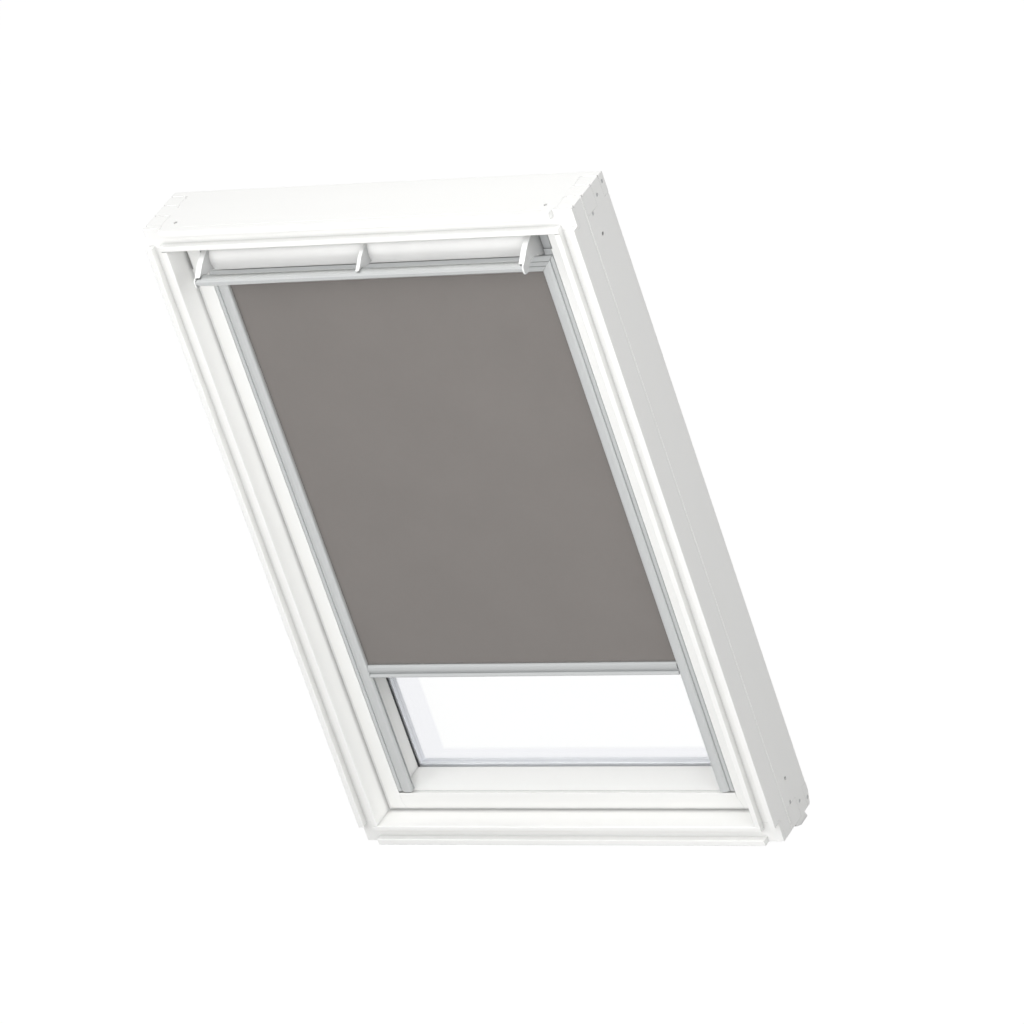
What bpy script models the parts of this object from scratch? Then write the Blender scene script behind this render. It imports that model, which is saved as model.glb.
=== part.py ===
"""Centre-pivot roof window with its fitted roller blind.

The window stands upright: +Z runs up the roof slope, -Y faces the room and
+X is to the right as seen from the room. The origin is the middle of the
frame's bottom face. Lengths are in metres, written as millimetres times MM.

A profile is drawn in two numbers: "inset", measured from a member's outer
edge towards the middle of the window, and "depth", measured from the
frame's front face towards the weather side.
"""

from math import ceil, cos, pi, radians, sin, sqrt, tan

import bmesh
import bpy
from mathutils import Matrix, Vector

MM = 0.001

# Gaps
SEAT_GAP = 0.3 * MM          # between pieces that touch
JOINT_GAP = 0.3 * MM         # sealed joints between the frame's members
OVERCUT = 5 * MM             # how far a cutter runs past the face it cuts

# Outer frame
FRAME_WIDTH = 780 * MM
FRAME_HEIGHT = 1178 * MM
FRAME_DEPTH = 126 * MM
RIB_WIDTH = 10.6 * MM
GROOVE_WIDTH = 17 * MM
LIP_WIDTH = 9.4 * MM
GROOVE_DEPTH = 13.3 * MM
RIB_ROUNDING = 1.2 * MM
LIP_ROUNDING = 2.0 * MM
TOP_RIB_STOP = 35 * MM       # from the frame's side to the end of the top rib
BOTTOM_RIB_STOP = 28 * MM    # the same for the bottom rib
SIDE_RIB_TOP_STOP = 32 * MM  # from the frame's top face to the end of a side rib
SIDE_RIB_FOOT_STOP = 34.5 * MM
SIDE_LINE_DEPTH = 46 * MM    # fine groove along the side faces
SIDE_LINE_WIDTH = 2.4 * MM
SIDE_LINE_CUT = 1.2 * MM
END_LINE_DEPTH = 14.6 * MM   # fine groove along the top and bottom faces
END_LINE_WIDTH = 1.0 * MM
END_LINE_CUT = 0.6 * MM
END_LINE_STOP = 53 * MM      # from the frame's side to the end of that groove
FINGER_DEPTHS = (21 * MM, 52 * MM, 84 * MM, 111 * MM)
FINGER_REACH = 30 * MM       # from the frame's side to the root of a side member's finger
SEAM_CUT = 1.1 * MM          # depth of the fine V along each finger on the end faces
SEAM_HOOK = 9 * MM           # length of the fine V across each seam's inner end
CORNER_BITE = 2.3 * MM       # notch where a seam meets the top corner's edge
FOOT_DROP = 11.5 * MM        # how far the foot of a side member reaches below the frame
FOOT_THICKNESS = 12 * MM
FOOT_START = 60 * MM
FOOT_END = 101 * MM
BACK_CORNER_CUT = 21.5 * MM  # height of the cut at the bottom member's weather-side corners
SCREW_HEAD_RADIUS = 3 * MM
SCREW_LENGTH = 12 * MM
SCREW_SUNK = 1.2 * MM
CORNER_SCREWS = ((13.5 * MM, 118 * MM), (23 * MM, 93 * MM), (40.5 * MM, 66 * MM))
PILOT_HOLES = ((81 * MM, 74 * MM),)
PILOT_DEPTH = 6 * MM
END_HOLE_INSET = 53 * MM     # from the frame's side to the pilot hole on an end face
END_HOLE_DEPTH = 29 * MM

# Sash
SASH_SIDE_GAP = 4 * MM
SASH_END_GAP = 4 * MM
STILE_FACE = 34 * MM
RAIL_FACE = 37 * MM
SASH_FRONT = 36.5 * MM       # depth of the face at its inner edge
SASH_SHOULDER = 9.5 * MM     # how much deeper the face lies at its outer edge
FACE_ROUNDING = 1.2 * MM
SHOULDER_ROUNDING = 4 * MM
RECESS_START = 2 * MM        # behind the face's inner edge
RECESS_LENGTH = 7 * MM
RECESS_CUT = 2 * MM
REVEAL_DRAFT = 12 * MM       # how far the reveal closes in towards the glass
GLASS_LAP = 16 * MM          # how far the reveal's end covers the glass's rebate
STILE_NOTCH = 41.5 * MM      # stile length beside the flap that is cut back for its ends
NOTCH_CUT = 2.6 * MM
TOP_RAIL_FRONT = 75 * MM
TOP_RAIL_FACE = 45 * MM
PIVOT_DEPTH = 81 * MM

# Glazing, front to back
REBATE_DEPTH = 95 * MM
GASKET_THICKNESS = 2.7 * MM
GASKET_SHOWN = 1.5 * MM
PANE_THICKNESS = 4 * MM
SPACER_DEPTH = 16 * MM
PANE_EDGE_GAP = 1.5 * MM
SPACER_INSET = 1.5 * MM
SPACER_SHOWN = 0.6 * MM
END_SET_BACK = 2.2 * MM      # how far the gasket and the spacer stay behind the rails' edges
BEAD_THICKNESS = 2.8 * MM
BEAD_LAP = 11 * MM
SEAL_DEPTH = 52 * MM
SEAL_WIDTH = 4 * MM
SEAL_THICKNESS = 1.8 * MM

# Pivot hardware
PLATE_HEIGHT = 80 * MM
PLATE_WIDTH = 36 * MM
PLATE_THICKNESS = 2.2 * MM
PIN_RADIUS = 6 * MM
PIN_REACH = 12 * MM
PIN_BORE_END = 2 * MM

# Ventilation flap and control bar
FLAP_AXIS_DROP = 67 * MM     # below the frame's top face
FLAP_AXIS_DEPTH = 44.5 * MM
FLAP_RADIUS = 28.3 * MM
FLAP_WALL = 3 * MM
FLAP_TOP_ANGLE = -80
FLAP_LOW_ANGLE = 41
FLAP_SIDE_INSET = 49 * MM    # from the sash's side to the flap's end
ARM_THICKNESS = 9.7 * MM
MIDDLE_ARM_THICKNESS = 6.3 * MM
FLAP_HUB_RADIUS = 11 * MM
FLAP_SWEEP_RADIUS = 25.6 * MM    # clears the blind's casing when the flap turns
FLAP_PIN_RADIUS = 3 * MM
FLAP_PIN_REACH = 8 * MM
BEARING_GAP = 1 * MM
BEARING_FRONT = 37.3 * MM
BEARING_BACK = 70 * MM
BEARING_STEP = 2.1 * MM      # how much deeper the bearing's upper half lies
BEARING_HEIGHT = 18 * MM
BAR_DROP = 13.6 * MM         # control bar's middle below the flap's axis
BAR_REACH = 65 * MM          # control bar's middle in front of the flap's axis
BAR_HEIGHT = 16.4 * MM
BAR_DEPTH = 18 * MM
BAR_WALL = 1.8 * MM
CAP_THICKNESS = 2.5 * MM
CAP_RIM = 0.5 * MM

# Blind casing, channels and roller
CHANNEL_WIDTH = 26.5 * MM
CHANNEL_FRONT = 34.3 * MM
CHANNEL_BACK = 46.2 * MM
CHANNEL_WALL = 1.5 * MM
CROWN_DEPTH = 6.2 * MM       # how deep the channel's front crown reaches
CHANNEL_SEAT = 0.5 * MM
CHANNEL_FOOT = 3.4 * MM      # above the bottom rail's inner edge
SLOT_HEIGHT = 2.8 * MM
CASING_FRONT = 35.4 * MM
CASING_BACK = 74.7 * MM
CASING_HEIGHT = 28.2 * MM
CASING_DROP = 93.5 * MM      # casing's top below the frame's top face
CASING_WALL = 1.5 * MM
CASING_FRONT_WALL = 3.3 * MM
FLANGE_HEIGHT = 16 * MM
FLANGE_SCREWS = (-0.78, -0.195, 0.195, 0.78)    # shares of the casing's half length
FLANGE_SCREW_HEAD = 3.5 * MM
FLANGE_SCREW_HEAD_HEIGHT = 1.8 * MM
FLANGE_SCREW_SHANK = 1.8 * MM
FLANGE_SCREW_LENGTH = 12 * MM
ROLLER_RADIUS = 8 * MM
ROLLER_WALL = 1.4 * MM
AXLE_RADIUS = 3 * MM
AXLE_END = 3 * MM
PLUG_LENGTH = 7 * MM
MOTOR_LENGTH = 90 * MM
BRACKET_THICKNESS = 3 * MM
WOUND_THICKNESS = 1.4 * MM
FABRIC_THICKNESS = 0.5 * MM
FABRIC_TUCK = 12 * MM        # fabric hidden inside each channel

# Bottom bar
BAR_TOP_BELOW_CASING = 726.5 * MM
BOTTOM_BAR_HEIGHT = 22 * MM
BOTTOM_BAR_BACK = 46.8 * MM
BOTTOM_BAR_BODY = 11.2 * MM
BOTTOM_BAR_LIP = 12.8 * MM
FABRIC_GRIP = 5 * MM
GUIDE_THICKNESS = 1.9 * MM
GUIDE_REACH = 20 * MM

# Derived frame and sash values
MEMBER_WIDTH = RIB_WIDTH + GROOVE_WIDTH + LIP_WIDTH
FRONT_Y = -FRAME_DEPTH / 2
SASH_WIDTH = FRAME_WIDTH - 2 * (MEMBER_WIDTH + SASH_SIDE_GAP)
SASH_HEIGHT = FRAME_HEIGHT - 2 * (MEMBER_WIDTH + SASH_END_GAP)
SASH_TOP = (FRAME_HEIGHT + SASH_HEIGHT) / 2
SASH_BOTTOM = (FRAME_HEIGHT - SASH_HEIGHT) / 2
PIVOT_Z = FRAME_HEIGHT / 2

# Derived glazing stack
GASKET_FRONT = REBATE_DEPTH + SEAT_GAP
INNER_PANE_FRONT = GASKET_FRONT + GASKET_THICKNESS + SEAT_GAP
SPACER_FRONT = INNER_PANE_FRONT + PANE_THICKNESS + SEAT_GAP
OUTER_PANE_FRONT = SPACER_FRONT + SPACER_DEPTH + SEAT_GAP
SASH_BACK = OUTER_PANE_FRONT + PANE_THICKNESS
STILE_REVEAL = STILE_FACE + REVEAL_DRAFT
RAIL_REVEAL = RAIL_FACE + REVEAL_DRAFT
STILE_REBATE = STILE_REVEAL - GLASS_LAP
RAIL_REBATE = RAIL_REVEAL - GLASS_LAP
PANE_WIDTH = SASH_WIDTH - 2 * (STILE_REBATE + PANE_EDGE_GAP)
PANE_HEIGHT = SASH_HEIGHT - 2 * (RAIL_REBATE + PANE_EDGE_GAP)

# Derived flap values
FLAP_AXIS_Z = FRAME_HEIGHT - FLAP_AXIS_DROP
FLAP_AXIS_Y = FRONT_Y + FLAP_AXIS_DEPTH
FLAP_HALF_WIDTH = SASH_WIDTH / 2 - FLAP_SIDE_INSET
ARM_INNER = FLAP_HALF_WIDTH - ARM_THICKNESS

# Derived blind values
CHANNEL_OUTER = SASH_WIDTH / 2 - STILE_FACE - CHANNEL_SEAT
CHANNEL_INNER = CHANNEL_OUTER - CHANNEL_WIDTH
CHANNEL_BOTTOM = SASH_BOTTOM + RAIL_FACE + CHANNEL_FOOT
CASING_TOP = FRAME_HEIGHT - CASING_DROP
CASING_BOTTOM = CASING_TOP - CASING_HEIGHT
FABRIC_DEPTH = CHANNEL_BACK - CHANNEL_WALL - SLOT_HEIGHT / 2
FABRIC_HALF_WIDTH = CHANNEL_INNER + FABRIC_TUCK
RECESS_END = SASH_FRONT + RECESS_START + RECESS_LENGTH
REVEAL_SLOPE = REVEAL_DRAFT / (REBATE_DEPTH - RECESS_END)
CASING_HALF = SASH_WIDTH / 2 - STILE_FACE - (CASING_BACK - RECESS_END) * REVEAL_SLOPE - SEAT_GAP
WOUND_INNER = ROLLER_RADIUS + SEAT_GAP
WOUND_RADIUS = WOUND_INNER + WOUND_THICKNESS
ROLLER_DEPTH = FABRIC_DEPTH + FABRIC_THICKNESS / 2 + SEAT_GAP + WOUND_RADIUS
ROLLER_Z = (CASING_TOP + CASING_BOTTOM) / 2
BRACKET_INNER = FABRIC_HALF_WIDTH + 1.2 * MM
BOTTOM_BAR_TOP = CASING_BOTTOM - BAR_TOP_BELOW_CASING
BOTTOM_BAR_LOW = BOTTOM_BAR_TOP - BOTTOM_BAR_HEIGHT
BOTTOM_BAR_HALF = CHANNEL_INNER - SEAT_GAP

# Finishes: colour, roughness, metallic, transmission
FINISHES = {
    "white_lacquer": ((0.90, 0.90, 0.89, 1), 0.38, 0.0, 0.0),
    "white_plastic": ((0.92, 0.92, 0.91, 1), 0.30, 0.0, 0.0),
    "aluminium": ((0.62, 0.64, 0.64, 1), 0.35, 1.0, 0.0),
    "dark_rubber": ((0.06, 0.06, 0.06, 1), 0.70, 0.0, 0.0),
    "spacer_grey": ((0.45, 0.45, 0.47, 1), 0.45, 0.6, 0.0),
    "glass": ((0.95, 0.97, 0.97, 1), 0.02, 0.0, 1.0),
    "zinc_steel": ((0.55, 0.55, 0.55, 1), 0.35, 1.0, 0.0),
    "grey_fabric": ((0.23, 0.22, 0.20, 1), 0.90, 0.0, 0.0),
    "grey_plastic": ((0.50, 0.51, 0.51, 1), 0.45, 0.0, 0.0),
}

UPRIGHT = Matrix.Identity(4)                       # outline (x, y), run along Z
ACROSS = Matrix(((0, 0, 1, 0), (1, 0, 0, 0), (0, 1, 0, 0), (0, 0, 0, 1)))
FACING = Matrix(((1, 0, 0, 0), (0, 0, -1, 0), (0, 1, 0, 0), (0, 0, 0, 1)))


def clear_scene():
    """Remove what the file holds and return the two collections."""
    for old in list(bpy.data.objects):
        bpy.data.objects.remove(old, do_unlink=True)
    found = []
    for name in ("skylight_window_blind", "cutters"):
        group = bpy.data.collections.new(name)
        bpy.context.scene.collection.children.link(group)
        found.append(group)
    return found


PARTS, CUTTERS = clear_scene()


def material(name):
    """Return the Principled material of a finish, made on first use."""
    found = bpy.data.materials.get(name)
    if found:
        return found
    colour, roughness, metallic, transmission = FINISHES[name]
    made = bpy.data.materials.new(name)
    made.use_nodes = True
    made.diffuse_color = colour
    shader = made.node_tree.nodes["Principled BSDF"]
    shader.inputs["Base Color"].default_value = colour
    shader.inputs["Roughness"].default_value = roughness
    shader.inputs["Metallic"].default_value = metallic
    shader.inputs["Transmission Weight"].default_value = transmission
    return made


def finished(piece, finish):
    """Give a sub-part its material."""
    piece.data.materials.clear()
    piece.data.materials.append(material(finish))
    return piece


def as_cutter(piece):
    """Move a shape to the cutters, hidden from renders."""
    PARTS.objects.unlink(piece)
    CUTTERS.objects.link(piece)
    piece.hide_render = True
    piece.display_type = "WIRE"
    return piece


def corner(before, point, after, radius, steps=3):
    """Round one corner of an outline with a short arc."""
    here = Vector(point)
    back = (Vector(before) - here).normalized()
    ahead = (Vector(after) - here).normalized()
    half = back.angle(ahead) / 2
    reach = min((Vector(before) - here).length, (Vector(after) - here).length) / 2
    trim = min(radius / tan(half), reach)
    radius = trim * tan(half)
    centre = here + (back + ahead).normalized() * (radius / sin(half))
    start = here + back * trim - centre
    end = here + ahead * trim - centre
    turn = start.angle(end)
    points = []
    for step in range(steps + 1):
        share = step / steps
        spoke = (start * sin((1 - share) * turn) + end * sin(share * turn)) / sin(turn)
        points.append(tuple(centre + spoke))
    return points


def outline_of(corners):
    """Turn corners (a, b) or (a, b, rounding) into plain points."""
    points = []
    for index, found in enumerate(corners):
        if len(found) == 2:
            points.append(found)
            continue
        before = corners[index - 1][:2]
        after = corners[(index + 1) % len(corners)][:2]
        points.extend(corner(before, found[:2], after, found[2]))
    return points


def close_mesh(mesh):
    """Weld a mesh and turn its faces outwards."""
    shape = bmesh.new()
    shape.from_mesh(mesh)
    bmesh.ops.remove_doubles(shape, verts=shape.verts, dist=1e-6)
    bmesh.ops.recalc_face_normals(shape, faces=shape.faces)
    shape.to_mesh(mesh)
    shape.free()


def extrusion(name, corners, start, end, turn):
    """Run an outline from start to end along the axis that turn gives."""
    curve = bpy.data.curves.new(name, "CURVE")
    curve.dimensions = "2D"
    curve.fill_mode = "BOTH"
    curve.extrude = (end - start) / 2
    points = outline_of(corners)
    spline = curve.splines.new("POLY")
    spline.points.add(len(points) - 1)
    for target, point in zip(spline.points, points):
        target.co = (point[0], point[1], 0, 1)
    spline.use_cyclic_u = True
    drawn = bpy.data.objects.new(name + "_outline", curve)
    PARTS.objects.link(drawn)
    seen = drawn.evaluated_get(bpy.context.evaluated_depsgraph_get())
    mesh = bpy.data.meshes.new_from_object(seen)
    bpy.data.objects.remove(drawn, do_unlink=True)
    close_mesh(mesh)
    mesh.shade_flat()
    mesh.name = name
    piece = bpy.data.objects.new(name, mesh)
    piece.matrix_world = turn @ Matrix.Translation((0, 0, (start + end) / 2))
    PARTS.objects.link(piece)
    return piece


def add_box(shape, low, high):
    """Add a cuboid between two corners to a bmesh."""
    middle = [(a + b) / 2 for a, b in zip(low, high)]
    size = [b - a for a, b in zip(low, high)]
    place = Matrix.Translation(middle) @ Matrix.Diagonal((*size, 1))
    bmesh.ops.create_cube(shape, size=1, matrix=place)


def add_rod(shape, low, high, radius, sides=24):
    """Add a cylinder between two end centres to a bmesh."""
    run = Vector(high) - Vector(low)
    turn = Vector((0, 0, 1)).rotation_difference(run).to_matrix().to_4x4()
    place = Matrix.Translation((Vector(low) + Vector(high)) / 2) @ turn
    bmesh.ops.create_cone(shape, cap_ends=True, segments=sides, radius1=radius,
                          radius2=radius, depth=run.length, matrix=place)


def solids(name, boxes=(), rods=()):
    """Make one object of boxes (low, high) and rods (low, high, radius[, sides])."""
    shape = bmesh.new()
    for low, high in boxes:
        add_box(shape, low, high)
    for rod in rods:
        add_rod(shape, *rod)
    mesh = bpy.data.meshes.new(name)
    shape.to_mesh(mesh)
    shape.free()
    piece = bpy.data.objects.new(name, mesh)
    PARTS.objects.link(piece)
    if rods:
        mesh.shade_smooth()
        mesh.set_sharp_from_angle(angle=radians(35))
    return piece


def combine(piece, other, operation="DIFFERENCE"):
    """Cut or join a piece with a cutter."""
    change = piece.modifiers.new(other.name, "BOOLEAN")
    change.operation = operation
    change.object = other
    return piece


def tube(name, low, high, outer, inner, sides=32):
    """Make a round tube as a turned section."""
    run = Vector(high) - Vector(low)
    half = run.length / 2
    curve = [(outer, half), (outer, -half), (inner, -half), (inner, half)]
    mesh = bpy.data.meshes.new(name)
    shape = bmesh.new()
    ring = [shape.verts.new((a, 0, b)) for a, b in curve]
    for first, second in zip(ring, ring[1:] + ring[:1]):
        shape.edges.new((first, second))
    shape.to_mesh(mesh)
    shape.free()
    piece = bpy.data.objects.new(name, mesh)
    PARTS.objects.link(piece)
    turn = Vector((0, 0, 1)).rotation_difference(run).to_matrix().to_4x4()
    piece.matrix_world = Matrix.Translation((Vector(low) + Vector(high)) / 2) @ turn
    screw = piece.modifiers.new("turned", "SCREW")
    screw.axis = "Z"
    screw.steps = sides
    screw.render_steps = sides
    screw.use_merge_vertices = True
    screw.merge_threshold = 1e-6
    screw.use_smooth_shade = False
    return piece


def side_name(side):
    """Name a side: -1 is left and 1 is right."""
    return "left" if side < 0 else "right"


def holder(name, place):
    """Add an empty on a joint's axis."""
    empty = bpy.data.objects.new(name, None)
    empty.empty_display_size = 40 * MM
    empty.location = place
    PARTS.objects.link(empty)
    return empty


def carry(empty, pieces):
    """Parent pieces to an empty and leave them where they are."""
    bpy.context.view_layer.update()
    for piece in pieces:
        piece.parent = empty
        piece.matrix_parent_inverse = empty.matrix_world.inverted()


def frame_profile(line):
    """Outline of a frame member in (inset, depth), with any groove on its outer face."""
    groove_end = RIB_WIDTH + GROOVE_WIDTH
    return [
        (0, 0, RIB_ROUNDING),
        (RIB_WIDTH, 0, RIB_ROUNDING),
        (RIB_WIDTH, GROOVE_DEPTH),
        (groove_end, GROOVE_DEPTH),
        (groove_end, 0, RIB_ROUNDING),
        (MEMBER_WIDTH, 0, LIP_ROUNDING),
        (MEMBER_WIDTH, FRAME_DEPTH),
        (0, FRAME_DEPTH, RIB_ROUNDING),
        *line,
    ]


def map_profile(profile, place):
    """Map (inset, depth) points with a function, keeping roundings."""
    return [(*place(found[0], found[1]), *found[2:]) for found in profile]


def finger_bands():
    """Depth ranges of the side members' and the end members' fingers."""
    edges = (-OVERCUT, *FINGER_DEPTHS, FRAME_DEPTH + OVERCUT)
    bands = list(zip(edges, edges[1:]))
    return bands[1::2], bands[0::2]


def side_rod(side, z, depth, sunk, length, radius):
    """A rod that runs into a side face, from a given distance below it."""
    face = side * FRAME_WIDTH / 2
    y = FRONT_Y + depth
    return (face - side * sunk, y, z), (face - side * (sunk + length), y, z), radius, 10


def frame_holes():
    """One cutter for the frame's screw holes and pilot holes."""
    wide = SCREW_HEAD_RADIUS + SEAT_GAP
    deep = SCREW_LENGTH + SCREW_SUNK + SEAT_GAP + OVERCUT
    rods = []
    for side in (-1, 1):
        for spots, length in ((CORNER_SCREWS, deep), (PILOT_HOLES, PILOT_DEPTH + OVERCUT)):
            for inset, depth in spots:
                rods.append(side_rod(side, inset, depth, -OVERCUT, length, wide))
                rods.append(side_rod(side, FRAME_HEIGHT - inset, depth, -OVERCUT, length, wide))
        x = side * (FRAME_WIDTH / 2 - END_HOLE_INSET)
        y = FRONT_Y + END_HOLE_DEPTH
        for face, way in ((0, 1), (FRAME_HEIGHT, -1)):
            rods.append(((x, y, face - way * OVERCUT), (x, y, face + way * PILOT_DEPTH), wide, 10))
            for depth in FINGER_DEPTHS:
                start = (side * (FRAME_WIDTH / 2 + OVERCUT), FRONT_Y + depth, face)
                stop = (side * (FRAME_WIDTH / 2 - FINGER_REACH + 2 * SEAM_CUT), FRONT_Y + depth, face)
                rods.append((start, stop, SEAM_CUT, 4))
    return as_cutter(solids("frame_holes", rods=rods))


def seam_hooks():
    """Cutter for the short V across the inner end of each seam on the top face."""
    rods = []
    for side in (-1, 1):
        for depth in FINGER_DEPTHS:
            x = side * (FRAME_WIDTH / 2 - FINGER_REACH - SEAM_CUT)
            start = (x, FRONT_Y + depth - SEAM_CUT / 2, FRAME_HEIGHT)
            stop = (x - side * SEAM_CUT, FRONT_Y + depth - SEAM_HOOK, FRAME_HEIGHT)
            rods.append((start, stop, SEAM_CUT * 0.7, 4))
    return as_cutter(solids("seam_hooks", rods=rods))


def corner_bites():
    """Cutter for the notches where the seams meet the top corners' edges."""
    rods = []
    for side in (-1, 1):
        for depth in FINGER_DEPTHS:
            y = FRONT_Y + depth
            start = (side * (FRAME_WIDTH / 2 + CORNER_BITE), y, FRAME_HEIGHT + CORNER_BITE)
            stop = (side * (FRAME_WIDTH / 2 - CORNER_BITE), y, FRAME_HEIGHT - CORNER_BITE)
            rods.append((start, stop, CORNER_BITE, 6))
    return as_cutter(solids("corner_bites", rods=rods))


def corner_screws(side):
    """The screws in one side member's fingers, sunk below its face."""
    for number, (inset, depth) in enumerate(CORNER_SCREWS, start=1):
        for end, z in (("bottom", inset), ("top", FRAME_HEIGHT - inset)):
            rod = side_rod(side, z, depth, SCREW_SUNK, SCREW_LENGTH, SCREW_HEAD_RADIUS)
            name = f"corner_screw_{side_name(side)}_{end}_{number}"
            finished(solids(name, rods=[rod]), "zinc_steel")


def frame_side(side, holes, bites):
    """Left or right frame member, with its fingers and its pivot pocket."""
    line = [(0, SIDE_LINE_DEPTH + SIDE_LINE_WIDTH / 2), (SIDE_LINE_CUT, SIDE_LINE_DEPTH),
            (0, SIDE_LINE_DEPTH - SIDE_LINE_WIDTH / 2)]
    profile = frame_profile(line)
    corners = map_profile(profile, lambda inset, depth: (side * (FRAME_WIDTH / 2 - inset), FRONT_Y + depth))
    piece = extrusion("frame_" + side_name(side), corners, 0, FRAME_HEIGHT, UPRIGHT)
    own, others = finger_bands()
    shoulder = MEMBER_WIDTH + JOINT_GAP
    inner = side * (FRAME_WIDTH / 2 - MEMBER_WIDTH)
    spread = sorted((side * (FRAME_WIDTH / 2 + OVERCUT), inner - side * OVERCUT))
    lip = sorted((inner - side * OVERCUT, side * (FRAME_WIDTH / 2 - RIB_WIDTH - GROOVE_WIDTH / 2)))
    boxes = []
    for low, high in others:
        low = max(low, GROOVE_DEPTH)
        for bottom, top in ((-OVERCUT, shoulder), (FRAME_HEIGHT - shoulder, FRAME_HEIGHT + OVERCUT)):
            boxes.append(((spread[0], FRONT_Y + low - JOINT_GAP / 2, bottom),
                          (spread[1], FRONT_Y + high + JOINT_GAP / 2, top)))
    combine(piece, as_cutter(solids(piece.name + "_finger_cuts", boxes=boxes)))
    boxes = []
    root = sorted((inner - side * OVERCUT, side * (FRAME_WIDTH / 2 - FINGER_REACH + JOINT_GAP)))
    for bottom, top in ((-OVERCUT, shoulder), (FRAME_HEIGHT - shoulder, FRAME_HEIGHT + OVERCUT)):
        boxes.append(((root[0], FRONT_Y + GROOVE_DEPTH - OVERCUT, bottom),
                      (root[1], FRONT_Y + FRAME_DEPTH + OVERCUT, top)))
    combine(piece, as_cutter(solids(piece.name + "_root_cuts", boxes=boxes)))
    boxes = []
    floor = FRONT_Y + GROOVE_DEPTH
    for x, foot, head in ((spread, SIDE_RIB_FOOT_STOP, SIDE_RIB_TOP_STOP), (lip, shoulder, shoulder)):
        boxes.append(((x[0], FRONT_Y - OVERCUT, -OVERCUT), (x[1], floor, foot)))
        boxes.append(((x[0], FRONT_Y - OVERCUT, FRAME_HEIGHT - head), (x[1], floor, FRAME_HEIGHT + OVERCUT)))
    for number, box in enumerate(boxes, start=1):
        combine(piece, as_cutter(solids(f"{piece.name}_rib_cut_{number}", boxes=[box])))
    pocket = sorted((inner - side * OVERCUT, inner + side * (PLATE_THICKNESS + SEAT_GAP)))
    height = PLATE_HEIGHT / 2 + SEAT_GAP
    width = PLATE_WIDTH / 2 + SEAT_GAP
    low = (pocket[0], FRONT_Y + PIVOT_DEPTH - width, PIVOT_Z - height)
    high = (pocket[1], FRONT_Y + PIVOT_DEPTH + width, PIVOT_Z + height)
    combine(piece, as_cutter(solids(piece.name + "_pivot_pocket", boxes=[(low, high)])))
    bore = ((inner - side * OVERCUT, FRONT_Y + PIVOT_DEPTH, PIVOT_Z),
            (inner + side * (PIN_REACH + PIN_BORE_END), FRONT_Y + PIVOT_DEPTH, PIVOT_Z),
            PIN_RADIUS + SEAT_GAP)
    combine(piece, as_cutter(solids(piece.name + "_pivot_bore", rods=[bore])))
    combine(piece, holes)
    combine(piece, bites)
    combine(piece, side_foot(side), "UNION")
    return finished(piece, "white_lacquer")


def side_foot(side):
    """Foot of a side member, joined to its hindmost finger and standing clear below the bottom member."""
    own, others = finger_bands()
    root = own[-1][0] + JOINT_GAP / 2
    profile = [
        (root, OVERCUT),
        (FOOT_END - 4 * MM, OVERCUT),
        (FOOT_END - 4 * MM, 0),
        (FOOT_END, -FOOT_DROP),
        (FOOT_START + 16 * MM, -FOOT_DROP),
        (FOOT_START + 2 * MM, -FOOT_DROP * 0.43),
        (FOOT_START, -JOINT_GAP),
        (root, -JOINT_GAP),
    ]
    ends = sorted((side * FRAME_WIDTH / 2, side * (FRAME_WIDTH / 2 - FOOT_THICKNESS)))
    corners = [(FRONT_Y + depth, z) for depth, z in profile]
    return as_cutter(extrusion("foot_" + side_name(side), corners, *ends, ACROSS))


def back_corner(side):
    """Cutter that trims the bottom member's weather-side corner."""
    back = FRAME_DEPTH
    profile = [
        (back + OVERCUT, -OVERCUT),
        (back + OVERCUT, BACK_CORNER_CUT + OVERCUT * 2.9),
        (back - 6 * MM, BACK_CORNER_CUT * 0.19),
        (back - 12 * MM, -OVERCUT),
    ]
    ends = sorted((side * (FRAME_WIDTH / 2 + OVERCUT), side * (FRAME_WIDTH / 2 - FINGER_REACH)))
    corners = [(FRONT_Y + depth, z) for depth, z in profile]
    return as_cutter(extrusion("back_corner_" + side_name(side), corners, *ends, ACROSS))


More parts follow.
